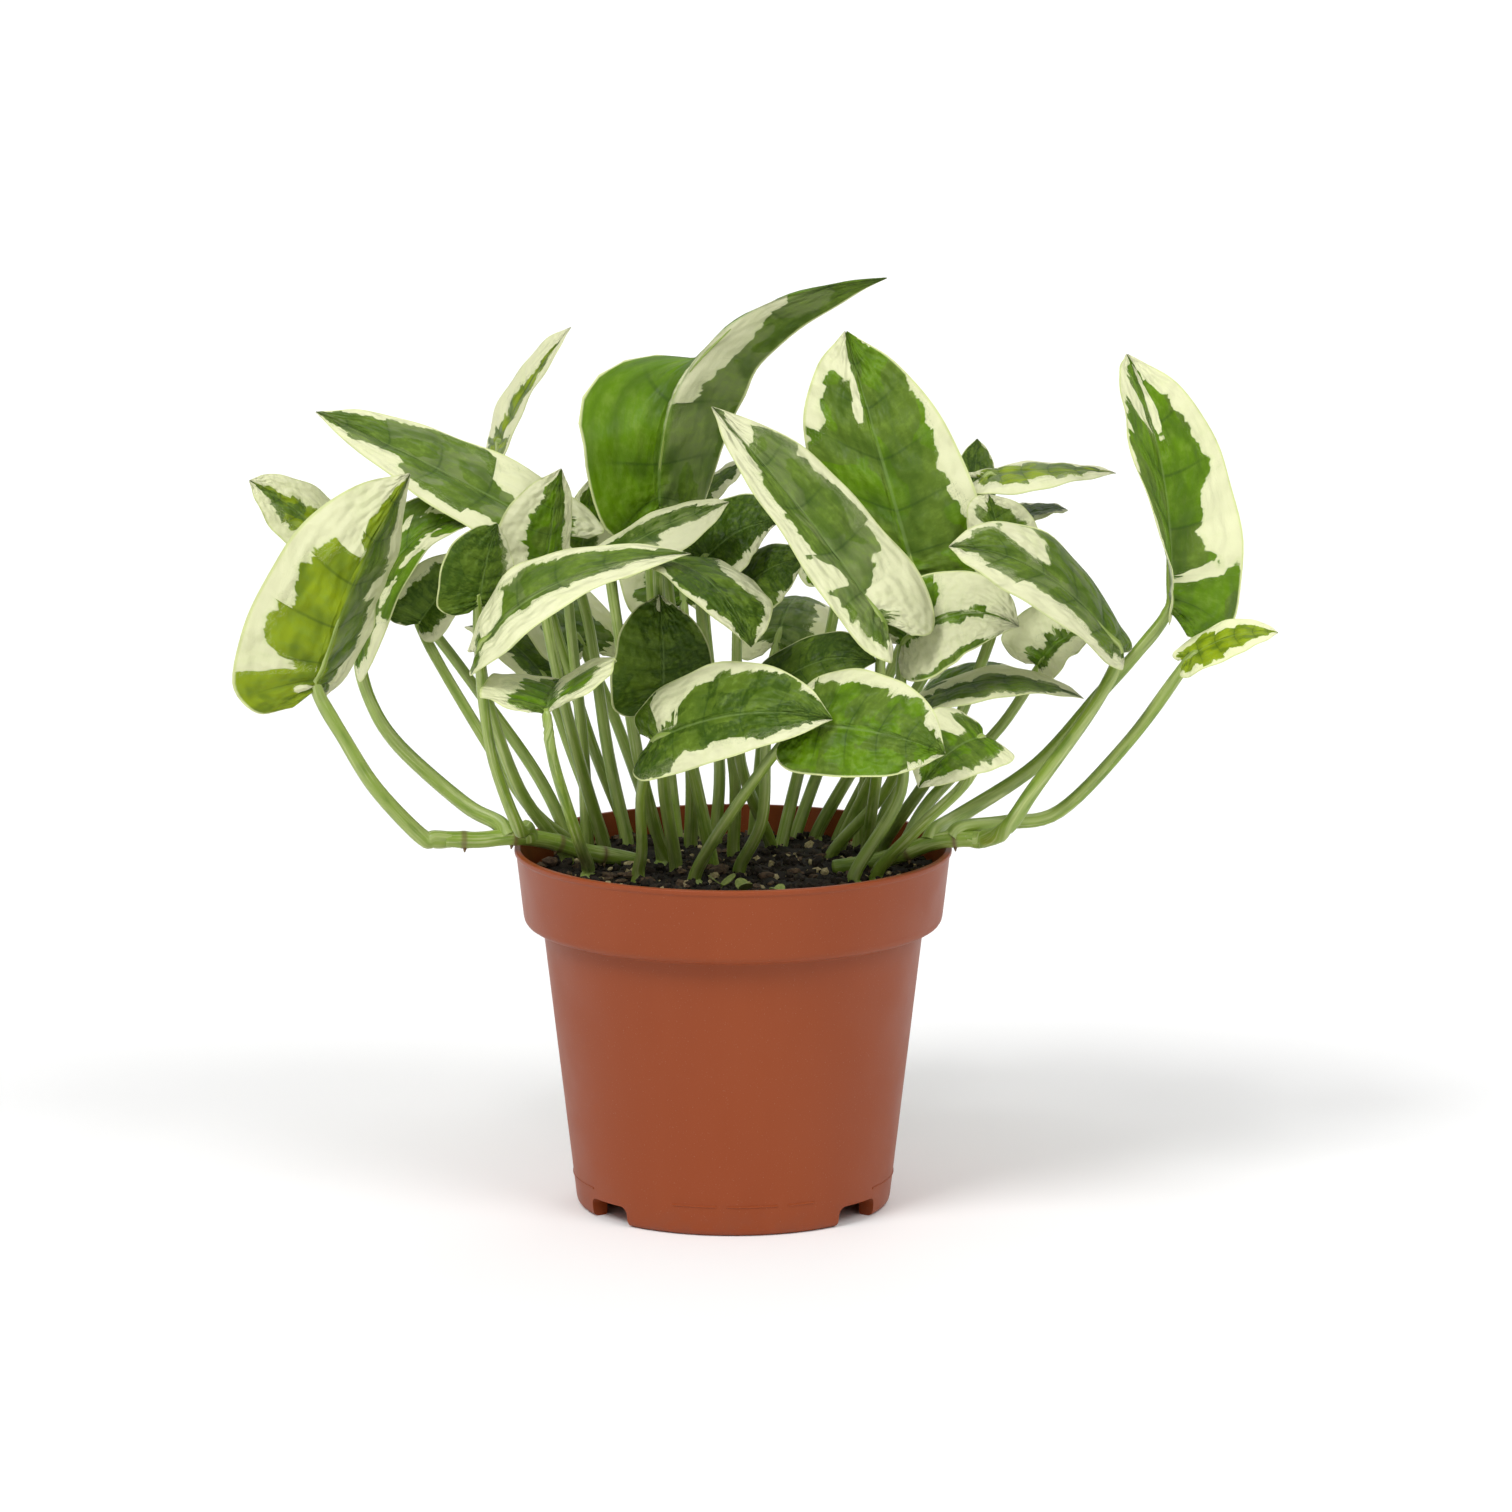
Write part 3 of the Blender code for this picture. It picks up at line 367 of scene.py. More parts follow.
class Graph:
    """Short calls for a material's nodes. A number or colour given for a socket is set on it."""

    def __init__(self, name):
        self.material = bpy.data.materials.new(name)
        self.material.use_nodes = True
        self.nodes = self.material.node_tree.nodes
        self.links = self.material.node_tree.links
        self.shader = self.nodes["Principled BSDF"]
        self.output = self.nodes["Material Output"]

    def put(self, socket, value):
        if isinstance(value, bpy.types.NodeSocket):
            self.links.new(value, socket)
        elif socket.type == "RGBA":
            socket.default_value = (*value[:3], 1.0)
        else:
            socket.default_value = value

    def node(self, kind, **settings):
        made = self.nodes.new(kind)
        for name, value in settings.items():
            setattr(made, name, value)
        return made

    def attribute(self, name, output="Fac"):
        return self.node("ShaderNodeAttribute", attribute_name=name).outputs[output]

    def math(self, operation, a, b=0.0, c=0.0):
        made = self.node("ShaderNodeMath", operation=operation)
        for socket, value in zip(made.inputs, (a, b, c)):
            self.put(socket, value)
        return made.outputs[0]

    def times(self, a, b):
        return self.math("MULTIPLY", a, b)

    def plus(self, a, b):
        return self.math("ADD", a, b)

    def split(self, vector):
        made = self.node("ShaderNodeSeparateXYZ")
        self.put(made.inputs[0], vector)
        return made.outputs[:3]

    def join(self, x, y, z):
        made = self.node("ShaderNodeCombineXYZ")
        for socket, value in zip(made.inputs, (x, y, z)):
            self.put(socket, value)
        return made.outputs[0]

    def noise(self, vector, scale=1.0, detail=2.0, roughness=0.5):
        made = self.node("ShaderNodeTexNoise")
        self.put(made.inputs["Vector"], vector)
        made.inputs["Scale"].default_value = scale
        made.inputs["Detail"].default_value = detail
        made.inputs["Roughness"].default_value = roughness
        return made.outputs["Fac"]

    def pattern(self, place, by_x, by_y, shift=0.0, **look):
        """Noise on a place's three parts, two of them scaled and the third moved on."""
        x, y, z = place
        return self.noise(self.join(self.times(x, by_x), self.times(y, by_y),
                                    self.plus(z, shift)), **look)

    def random(self, x, y):
        made = self.node("ShaderNodeTexWhiteNoise", noise_dimensions="2D")
        self.put(made.inputs["Vector"], self.join(x, y, 0.0))
        return made.outputs["Value"]

    def ramp(self, value, low, high, smooth=True, to=(0.0, 1.0)):
        made = self.node("ShaderNodeMapRange", clamp=True)
        made.interpolation_type = "SMOOTHSTEP" if smooth else "LINEAR"
        for socket, v in zip(made.inputs[:5], (value, low, high, to[0], to[1])):
            self.put(socket, v)
        return made.outputs[0]

    def mix(self, share, a, b, blend="MIX"):
        made = self.node("ShaderNodeMix", data_type="RGBA", blend_type=blend)
        self.put(made.inputs[0], share)
        self.put(made.inputs[6], a)
        self.put(made.inputs[7], b)
        return made.outputs[2]

    def bump(self, height, strength, distance, below=None):
        made = self.node("ShaderNodeBump")
        made.inputs["Strength"].default_value = strength
        made.inputs["Distance"].default_value = distance
        self.put(made.inputs["Height"], height)
        if below is not None:
            self.put(made.inputs["Normal"], below)
        return made.outputs["Normal"]

    def place(self):
        return self.node("ShaderNodeTexCoord").outputs["Object"]

    def finish(self, colour, roughness, normal=None, specular=None):
        """Sets or links the shader's sockets and gives back the material."""
        for name, value in (("Base Color", colour), ("Roughness", roughness),
                            ("Normal", normal), ("Specular IOR Level", specular)):
            if value is not None:
                self.put(self.shader.inputs[name], value)
        return self.material

    def see_light(self, colour, share):
        """Lets some light through, as a thin leaf does."""
        behind = self.node("ShaderNodeBsdfTranslucent")
        self.put(behind.inputs["Color"], colour)
        mixed = self.node("ShaderNodeMixShader")
        mixed.inputs[0].default_value = share
        self.links.new(self.shader.outputs[0], mixed.inputs[1])
        self.links.new(behind.outputs[0], mixed.inputs[2])
        self.links.new(mixed.outputs[0], self.output.inputs["Surface"])


def leaf_material(cream, edge):
    """Green and cream paint whose border runs along the side veins, with fine vein relief."""
    g = Graph("variegated_leaf")
    vein = g.split(g.attribute("vein", "Vector"))
    along, across, seed = vein
    cell = g.math("FLOOR", along)
    broad = g.pattern(vein, 1.4, 1.8)
    fine = g.pattern(vein, 5.0, 2.2, detail=2.5, roughness=0.6)
    reach = g.math("MULTIPLY_ADD", g.random(cell, seed), 0.26, g.attribute("green"))
    reach = g.math("MULTIPLY_ADD", broad, 0.62, reach)
    reach = g.math("MULTIPLY_ADD", fine, 0.24, reach)
    reach = g.math("SUBTRACT", reach, 0.56)

    second = g.pattern(vein, 0.9, 1.5, 3.7, detail=1.5)
    second = g.math("MULTIPLY_ADD", g.random(cell, g.plus(seed, 1.3)), 0.16, second)
    second = g.math("MULTIPLY_ADD", fine, 0.10, second)
    green = g.mix(g.ramp(second, 0.64, 0.66), g.attribute("main_green", "Color"),
                  g.attribute("second_green", "Color"))
    mottle = g.pattern(vein, 5.5, 5.0, detail=4.0, roughness=0.7)
    green = g.mix(g.ramp(mottle, 0.42, 0.70, to=(0.0, 0.45)), green, (0.26, 0.40, 0.05))
    deep = g.pattern(vein, 1.0, 3.0, 9.1)
    green = g.mix(g.ramp(deep, 0.44, 0.66, to=(0.0, 0.55)), green, (0.055, 0.120, 0.005))

    to_vein = g.math("ABSOLUTE", g.math("SUBTRACT", g.math("FRACT", along), 0.5))
    side_vein = g.times(g.ramp(to_vein, 0.45, 0.5), g.ramp(across, 0.2, 1.0, to=(1.0, 0.0)))
    # Painted shade: the green darkens down into each side vein's groove, more so near the midrib,
    # so the swells between the veins look raised.
    swell = g.times(g.ramp(to_vein, 0.10, 0.48), g.ramp(across, 0.05, 0.9, to=(1.0, 0.3)))
    green = g.mix(g.times(swell, 0.36), green, (0.034, 0.085, 0.005))
    green = g.mix(g.times(side_vein, 0.50), green, (0.030, 0.075, 0.006))
    midrib = g.ramp(across, 0.008, 0.035, to=(1.0, 0.0))
    green = g.mix(g.times(midrib, 0.45), green, (0.24, 0.36, 0.10))

    tint = g.pattern(vein, 2.0, 1.0, 5.5, detail=4.0, roughness=0.7)
    light = g.mix(g.ramp(tint, 0.45, 0.85, to=(0.0, 0.40)), cream, (0.66, 0.74, 0.34))
    light = g.mix(g.times(side_vein, 0.15), light, (0.60, 0.68, 0.34))
    light = g.mix(g.times(midrib, 0.6), light, (0.48, 0.58, 0.26))
    light = g.mix(g.ramp(reach, -0.07, 0.0, to=(0.0, 0.30)), light, (0.60, 0.70, 0.28))

    colour = g.mix(g.ramp(reach, -0.012, 0.012), light, green)
    colour = g.mix(g.ramp(across, 0.955, 0.985), colour, edge)
    colour = g.mix(g.times(g.attribute("under"), 0.38), colour, (0.36, 0.43, 0.20))
    # Painted light and shade: each leaf's colour is multiplied by its painted light level from the
    # leaf's table row.
    painted_light_level = g.attribute("painted_light_level")
    colour = g.mix(1.0, colour, g.join(painted_light_level, painted_light_level, painted_light_level), "MULTIPLY")

    cells = g.node("ShaderNodeTexVoronoi", feature="DISTANCE_TO_EDGE")
    g.put(cells.inputs["Vector"], g.join(g.times(along, 9.0), g.times(across, 26.0), seed))
    cells.inputs["Scale"].default_value = 1.0
    height = g.math("MULTIPLY_ADD", g.ramp(cells.outputs["Distance"], 0.0, 0.25), 0.25, mottle)
    pillow = g.times(g.pattern(vein, 1.9, 4.5, detail=1.0), g.attribute("bulk"))
    normal = g.bump(height, 0.4, 0.00018, g.bump(pillow, 1.0, 0.0023))
    g.see_light(colour, 0.20)
    return g.finish(colour, g.ramp(mottle, 0.2, 0.8, to=(0.34, 0.48)), normal, 0.20)


def stalk_material(name, colour, pale):
    """Fresh stalks: long pale streaks over light green, brown at the joints' scars."""
    g = Graph(name)
    vein = g.split(g.attribute("vein", "Vector"))
    streak = g.pattern(vein, 0.9, 2.6, detail=4.0, roughness=0.6)
    wide = g.pattern(vein, 2.0, 1.0, 4.0)
    body = g.mix(g.ramp(streak, 0.46, 0.70), colour, pale)
    body = g.mix(g.ramp(wide, 0.42, 0.72, to=(0.0, 0.6)), body, (0.100, 0.195, 0.010))
    body = g.mix(g.attribute("groove"), body, pale)
    spots = g.noise(g.place(), scale=1500.0, detail=1.0)
    body = g.mix(g.ramp(spots, 0.70, 0.76, to=(0.0, 0.5)), body, (0.42, 0.40, 0.16))
    body = g.mix(g.attribute("scar"), body, (0.16, 0.10, 0.04))
    g.see_light(body, 0.08)
    return g.finish(body, g.ramp(wide, 0.3, 0.7, to=(0.30, 0.42)),
                    g.bump(g.pattern(vein, 1.2, 7.0), 0.35, 0.0002))


def pot_material(colour):
    """Satin moulded plastic: even colour with faint flow marks, dust and a fine grain."""
    g = Graph("terracotta_plastic")
    place = g.place()
    x, y, z = g.split(place)
    flow = g.noise(g.join(g.times(x, 60.0), g.times(y, 60.0), g.times(z, 8.0)), detail=3.0)
    body = g.mix(g.ramp(flow, 0.35, 0.7, to=(0.0, 0.35)), colour, (0.290, 0.058, 0.011))
    specks = g.noise(place, scale=2600.0, detail=1.0)
    body = g.mix(g.ramp(specks, 0.70, 0.74, to=(0.0, 0.30)), body, (0.42, 0.20, 0.12))
    # Darker in patches towards the bottom of the pot, over its lowest 12 mm.
    damp = g.times(g.ramp(z, 0.0, 0.012, to=(1.0, 0.0)),
                   g.ramp(g.noise(place, scale=150.0, detail=3.0), 0.45, 0.65))
    body = g.mix(g.times(damp, 0.25), body, (0.20, 0.06, 0.03))
    smooth_parts = g.noise(place, scale=45.0, detail=3.0)
    rings = g.noise(g.join(0.0, 0.0, g.times(z, 900.0)), detail=1.0)
    grain = g.bump(g.noise(place, scale=1800.0), 0.12, 0.0001)
    return g.finish(body, g.ramp(smooth_parts, 0.3, 0.7, to=(0.40, 0.50)),
                    g.bump(rings, 0.05, 0.0001, grain), 0.32)


def soil_material(colour):
    """Damp peat: dark crumbs between paler fibres."""
    g = Graph("potting_soil")
    broad = g.noise(g.place(), scale=160.0, detail=5.0, roughness=0.7)
    fine = g.noise(g.place(), scale=1400.0, detail=4.0, roughness=0.7)
    body = g.mix(g.ramp(broad, 0.40, 0.75), colour, (0.036, 0.023, 0.012))
    body = g.mix(g.ramp(fine, 0.62, 0.75, to=(0.0, 0.7)), body, (0.13, 0.085, 0.045))
    body = g.mix(g.ramp(fine, 0.25, 0.42, to=(0.8, 0.0)), body, (0.006, 0.005, 0.004))
    return g.finish(body, g.ramp(broad, 0.3, 0.7, to=(0.75, 0.95)), g.bump(fine, 0.9, 0.0006))


def grain_material(name, light, dark, roughness):
    """Crumbs, bark, pale grains and seedlings: two tones and a fine rough surface."""
    g = Graph(name)
    tone = g.noise(g.place(), scale=900.0, detail=3.0, roughness=0.7)
    fine = g.noise(g.place(), scale=2500.0, detail=3.0)
    return g.finish(g.mix(g.ramp(tone, 0.3, 0.7), dark, light), roughness,
                    g.bump(fine, 0.6, 0.0003))


def floor_material(colour):
    g = Graph("studio_floor")
    tone = g.noise(g.place(), scale=3.0)
    return g.finish(g.mix(g.ramp(tone, 0.3, 0.7, to=(0.0, 0.02)), colour, (0.90, 0.90, 0.90)),
                    0.9, specular=0.0)


# ---------------------------------------------------------------- shared shapes


def link_mesh(name, mesh, *materials):
    obj = bpy.data.objects.new(name, mesh)
    bpy.context.scene.collection.objects.link(obj)
    for material in materials:
        mesh.materials.append(material)
    return obj


def keep(piece, slot, *nodes):
    """The piece rides on the plant's one body and stands for its solid nodes."""
    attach(piece, "root")
    if nodes:
        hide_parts(*nodes)


def smooth(mesh, angle=None):
    mesh.shade_smooth()
    if angle is not None:
        mesh.set_sharp_from_angle(angle=math.radians(angle))


def smooth_mesh(name, points, faces, angle=None):
    mesh = bpy.data.meshes.new(name)
    mesh.from_pydata(points, [], faces)
    smooth(mesh, angle)
    return mesh


def add_attribute(mesh, name, *parts):
    """Puts one number, vector or colour on every point, from one or more lists."""
    values = np.concatenate([np.asarray(part, np.float32) for part in parts])
    kind, field = {
        (): ("FLOAT", "value"),
        (3,): ("FLOAT_VECTOR", "vector"),
        (4,): ("FLOAT_COLOR", "color"),
    }[values.shape[1:]]
    mesh.attributes.new(name, kind, "POINT").data.foreach_set(field, values.ravel())


def around(radius, angle):
    """x and y at a distance from the pot's axis."""
    return radius * math.cos(angle), radius * math.sin(angle)


def on_curve(a, b, c, d, t):
    """A point between b (t = 0) and c (t = 1) on a Catmull-Rom curve."""
    return 0.5 * (2 * b + (c - a) * t + (2 * a - 5 * b + 4 * c - d) * t * t
                  + (3 * b - a - 3 * c + d) * t * t * t)


def smooth_path(points, steps):
    """A smooth curve through the points, with steps pieces between each two."""
    padded = [2 * points[0] - points[1]] + points + [2 * points[-1] - points[-2]]
    path = [
        on_curve(*padded[i : i + 4], k / steps)
        for i in range(len(points) - 1)
        for k in range(steps)
    ]
    path.append(points[-1].copy())
    return path


def tube(path, radii, facing, sides, groove=0.0, seed=0.0, scars=()):
    """Points, faces and attributes of a closed tube with a channel on the side that it faces."""
    points, faces, vein, channel, scar = [], [], [], [], []
    travelled = 0.0
    for i, centre in enumerate(path):
        ahead = path[min(i + 1, len(path) - 1)] - path[max(i - 1, 0)]
        ahead.normalize()
        front = facing - ahead * facing.dot(ahead)
        if front.length < 1e-5:
            front = ahead.orthogonal()
        front.normalize()
        side = ahead.cross(front)
        if i:
            travelled += (centre - path[i - 1]).length
        for k in range(sides):
            angle = 2 * math.pi * k / sides
            bend = min(angle, 2 * math.pi - angle)
            dent = 1.0 - groove * math.exp(-((bend / 0.42) ** 2))
            dent += 0.45 * groove * math.exp(-(((bend - 1.0) / 0.35) ** 2))
            radius = radii[i] * dent
            points.append(centre + (front * math.cos(angle) + side * math.sin(angle)) * radius)
            vein.append((travelled * 60.0, bend, seed))
            channel.append(min(1.0, 3.0 * groove * math.exp(-(((bend - 0.9) / 0.4) ** 2))))
            scar.append(max([0.0] + [1.0 - abs(travelled - at) / 0.0011 for at in scars]))
    for i in range(len(path) - 1):
        for k in range(sides):
            a, b = i * sides + k, i * sides + (k + 1) % sides
            faces.append((a, b, b + sides, a + sides))
    for ring, turn in ((0, -1), (len(path) - 1, 1)):
        middle = len(points)
        points.append(path[ring].copy())
        vein.append((0.0 if ring == 0 else travelled * 60.0, 1.5, seed))
        channel.append(0.0)
        scar.append(0.0)
        for k in range(sides):
            corners = (ring * sides + k, ring * sides + (k + 1) % sides, middle)
            faces.append(corners[::turn])
    return points, faces, vein, channel, scar


def chunk(points, faces, centre, size, rng, flat=1.0):
    """Adds a small irregular lump to the lists."""
    start = len(points)
    golden = (1 + math.sqrt(5)) / 2
    corners = [
        (-1, golden, 0), (1, golden, 0), (-1, -golden, 0), (1, -golden, 0),
        (0, -1, golden), (0, 1, golden), (0, -1, -golden), (0, 1, -golden),
        (golden, 0, -1), (golden, 0, 1), (-golden, 0, -1), (-golden, 0, 1),
    ]
    turn = Quaternion((rng.random(), rng.random(), rng.random()), rng.uniform(0, 6.28))
    stretch = Vector((rng.uniform(0.7, 1.5), rng.uniform(0.7, 1.2), rng.uniform(0.6, 1.0)))
    for corner in corners:
        p = Vector(corner) * (rng.uniform(0.75, 1.2) * size / 3.8)
        p = turn @ Vector((p.x * stretch.x, p.y * stretch.y, p.z * stretch.z))
        points.append(centre + Vector((p.x, p.y, p.z * flat)))
    for face in (
        (0, 11, 5), (0, 5, 1), (0, 1, 7), (0, 7, 10), (0, 10, 11), (1, 5, 9), (5, 11, 4),
        (11, 10, 2), (10, 7, 6), (7, 1, 8), (3, 9, 4), (3, 4, 2), (3, 2, 6), (3, 6, 8),
        (3, 8, 9), (4, 9, 5), (2, 4, 11), (6, 2, 10), (8, 6, 7), (9, 8, 1),
    ):
        faces.append(tuple(start + k for k in face))


# ---------------------------------------------------------------- pot


def wall_radius(z):
    """The outer radius of the pot's body at height z."""
    return FOOT_RADIUS + (BODY_TOP_RADIUS - FOOT_RADIUS) * z / SHOULDER_HEIGHT


def rounded(profile, steps=3):
    """Cuts each marked corner (radius, height, rounding) of a profile into a short arc."""
    made = []
    for i, (r, z, size) in enumerate(profile):
        if not size or i in (0, len(profile) - 1):
            made.append((r, z))
            continue
        here = Vector((r, z))
        back = Vector(profile[i - 1][:2]) - here
        on = Vector(profile[i + 1][:2]) - here
        size = min(size, 0.45 * back.length, 0.45 * on.length)
        start = here + back.normalized() * size
        end = here + on.normalized() * size
        for k in range(steps + 1):
            t = k / steps
            made.append(tuple((1 - t) ** 2 * start + 2 * t * (1 - t) * here + t * t * end))
    return made


def lathe(name, profile, steps, material):
    """A round body from a profile that starts and ends on the axis."""
    mesh = bpy.data.meshes.new(name)
    mesh.from_pydata([(r, 0.0, z) for r, z in profile],
                     [(i, i + 1) for i in range(len(profile) - 1)], [])
    obj = link_mesh(name, mesh, material)
    screw = obj.modifiers.new("Turn", "SCREW")
    screw.axis = "Z"
    screw.steps = steps
    screw.render_steps = steps
    screw.use_merge_vertices = True
    screw.merge_threshold = 0.00001
    return obj


def cutter(name, bm, radius, angle, height=0.0):
    mesh = bpy.data.meshes.new(name)
    bm.to_mesh(mesh)
    bm.free()
    obj = link_mesh(name, mesh)
    obj.location = (*around(radius, angle), height)
    return obj


def foot_notch_cutter(angle):
    bm = bmesh.new()
    bmesh.ops.create_cube(bm, size=1.0)
    bmesh.ops.scale(bm, vec=(0.016, NOTCH_WIDTH, 2 * NOTCH_HEIGHT), verts=bm.verts)
    upper = [
        e
        for e in bm.edges
        if all(v.co.z > 0 for v in e.verts) and abs(e.verts[0].co.x - e.verts[1].co.x) > 0.001
    ]
    bmesh.ops.bevel(bm, geom=upper, offset=0.0022, segments=8, profile=0.5, affect="EDGES")
    obj = cutter("notch", bm, FOOT_RADIUS - 0.5 * FOOT_WALL, angle)
    obj.rotation_euler = (0.0, 0.0, angle)
    return obj


def drain_cutter(angle):
    bm = bmesh.new()
    bmesh.ops.create_cone(bm, cap_ends=True, segments=32, radius1=DRAIN_RADIUS,
                          radius2=DRAIN_RADIUS, depth=6 * WALL)
    middle = 0.5 * (PAD_CONE_RADIUS + WALL + FOOT_RADIUS - FOOT_WALL)
    return cutter("drain", bm, middle, angle, FLOOR_RAISE + 0.5 * WALL)


def pot_profile(lip):
    """(radius, height, rounding) down the inside from the axis, over the lip and back below."""
    top, shoulder, floor = POT_HEIGHT, SHOULDER_HEIGHT, FLOOR_HEIGHT
    foot_inside = FOOT_RADIUS - FOOT_WALL
    return [
        (0.0, WALL, 0),
        (PAD_RADIUS, WALL, 0.0015),
        (PAD_CONE_RADIUS, floor, 0.0015),
        (wall_radius(floor) - WALL, floor, 0.0020),
        (wall_radius(shoulder) - WALL, shoulder - 0.0008, 0.0015),
        (SHOULDER_RADIUS - WALL, shoulder + WALL, 0.0020),
        (RIM_RADIUS - WALL, top, 0.45 * lip),
        (RIM_RADIUS + 0.0004, top, lip),
        (RIM_RADIUS + 0.0003, top - 0.0013, 0.0005),
        (RIM_RADIUS - 0.0002, top - 0.0018, 0.0004),
        (SHOULDER_RADIUS, shoulder, 0.0036),
        (wall_radius(shoulder), shoulder - 0.0004, 0.0010),
        (wall_radius(0.012), 0.012, 0),
        (FOOT_RADIUS, 0.0, 0.0022),
        (foot_inside, 0.0, 0.0008),
        (foot_inside, FLOOR_RAISE, 0.0012),
        (PAD_CONE_RADIUS + WALL, FLOOR_RAISE, 0.0010),
        (PAD_RADIUS + WALL, 0.0, 0.0010),
        (0.0, 0.0, 0),
    ]


def mould_line(start, end, height):
    """A thin raised line around the pot's foot, between two angles in degrees."""
    radius = wall_radius(height) - 0.00004
    count = (end - start) // 2
    angles = [math.radians(start + (end - start) * i / count) for i in range(count + 1)]
    path = [Vector((*around(radius, angle), height)) for angle in angles]
    return tube(path, [0.00028] * len(path), UP, 6)[:2]


def make_pot(settings):
    profile = rounded(pot_profile(settings.lip_round), 4)
    material = pot_material(settings.colour)
    turned = lathe("pot_turned", profile, settings.round_steps, material)
    cutters = [foot_notch_cutter(math.radians(a)) for a in (-142, -38, 38, 142)]
    cutters += [drain_cutter(math.radians(22.5 + 45 * n)) for n in range(8)]
    for tool in cutters:
        cut = turned.modifiers.new("Opening", "BOOLEAN")
        cut.solver = "EXACT"
        cut.object = tool
    bpy.context.view_layer.update()
    graph = bpy.context.evaluated_depsgraph_get()
    mesh = bpy.data.meshes.new_from_object(turned.evaluated_get(graph))
    for obj in [turned] + cutters:
        bpy.data.objects.remove(obj, do_unlink=True)
    bm = bmesh.new()
    bm.from_mesh(mesh)
    for start, end in ((-112, -96), (-92, -74), (-70, -60), (-30, 30), (60, 120), (150, 210)):
        points, faces = mould_line(start, end, MOULD_LINE_HEIGHT)
        made = [bm.verts.new(p) for p in points]
        for face in faces:
            bm.faces.new([made[k] for k in face])
    bmesh.ops.recalc_face_normals(bm, faces=bm.faces)
    bm.to_mesh(mesh)
    bm.free()
    smooth(mesh, 32)
    mesh.materials.clear()
    keep(link_mesh("Pot", mesh, material), "terracotta_plastic", "pot")


# ---------------------------------------------------------------- soil


def soil_height(x, y, lump):
    """The soil's surface: broad mounds, lumps and a slight fall towards the wall."""
    spread = math.hypot(x, y) / 0.057
    level = SOIL_LEVEL - 0.0010 * spread ** 6
    level += lump * 0.6 * noise.noise(Vector((x * 55, y * 55, 1.7)))
    level += lump * 0.8 * noise.noise(Vector((x * 190, y * 190, 4.1)))
    level += lump * 0.45 * abs(noise.noise(Vector((x * 520, y * 520, 8.3))))
    return level


def make_soil(settings):
    lump = settings.lump_height
    rings, sides = 70, 150
    outer = RIM_RADIUS - WALL - 3 * SOIL_GAP
    points = [(0, 0, soil_height(0, 0, lump))]
    for i in range(1, rings + 1):
        for k in range(sides):
            x, y = around(outer * i / rings, 2 * math.pi * (k + 0.5 * (i % 2)) / sides)
            points.append((x, y, soil_height(x, y, lump)))
    faces = [(0, 1 + k, 1 + (k + 1) % sides) for k in range(sides)]
    for i in range(rings - 1):
        for k in range(sides):
            a, b = 1 + i * sides + k, 1 + i * sides + (k + 1) % sides
            faces.append((a, a + sides, b + sides, b))
    floor = FLOOR_HEIGHT + SOIL_LIFT
    below = [
        (SHOULDER_RADIUS - WALL - SOIL_GAP, SHOULDER_HEIGHT + WALL + SOIL_LIFT),
        (wall_radius(SHOULDER_HEIGHT) - WALL - SOIL_GAP, SHOULDER_HEIGHT - SOIL_GAP),
        (wall_radius(floor) - WALL - 0.0022, floor),
        (PAD_CONE_RADIUS - SOIL_GAP, floor),
        (PAD_RADIUS - SOIL_GAP, WALL + SOIL_LIFT),
    ]
    ring = 1 + (rings - 1) * sides
    for radius, height in below:
        start = len(points)
        for k in range(sides):
            points.append((*around(radius, 2 * math.pi * k / sides), height))
            faces.append((ring + k, start + k, start + (k + 1) % sides, ring + (k + 1) % sides))
        ring = start
    faces += [(ring + (k + 1) % sides, ring + k, len(points)) for k in range(sides)]
    points.append((0, 0, WALL + SOIL_LIFT))
    mesh = smooth_mesh("Soil", points, faces)
    keep(link_mesh("Soil", mesh, soil_material(settings.colour)), "potting_soil", "soil")

    rng = random.Random(11)
    scatter = (
        ("Soil_crumbs", settings.crumbs, (0.0008, 0.0036), 0.85,
         grain_material("soil_crumb", (0.040, 0.026, 0.014), (0.006, 0.004, 0.003), 0.92)),
        ("Bark_bits", settings.crumbs // 9, (0.0018, 0.0056), 0.55,
         grain_material("bark", (0.150, 0.090, 0.048), (0.040, 0.024, 0.013), 0.85)),
        ("Perlite", settings.perlite, (0.0008, 0.0034), 0.9,
         grain_material("perlite", (0.62, 0.52, 0.30), (0.26, 0.20, 0.09), 0.9)),
    )
    for name, count, sizes, flat, material in scatter:
        points, faces = [], []
        for _ in range(count):
            radius = (outer - 0.0022) * math.sqrt(rng.random())
            x, y = around(radius, rng.uniform(0, 2 * math.pi))
            size = sizes[0] + (sizes[1] - sizes[0]) * rng.random() ** 2
            z = soil_height(x, y, lump) + 0.18 * size
            chunk(points, faces, Vector((x, y, z)), size, rng, flat)
        mesh = bpy.data.meshes.new(name)
        mesh.from_pydata(points, [], faces)
        keep(link_mesh(name, mesh, material), "potting_soil")


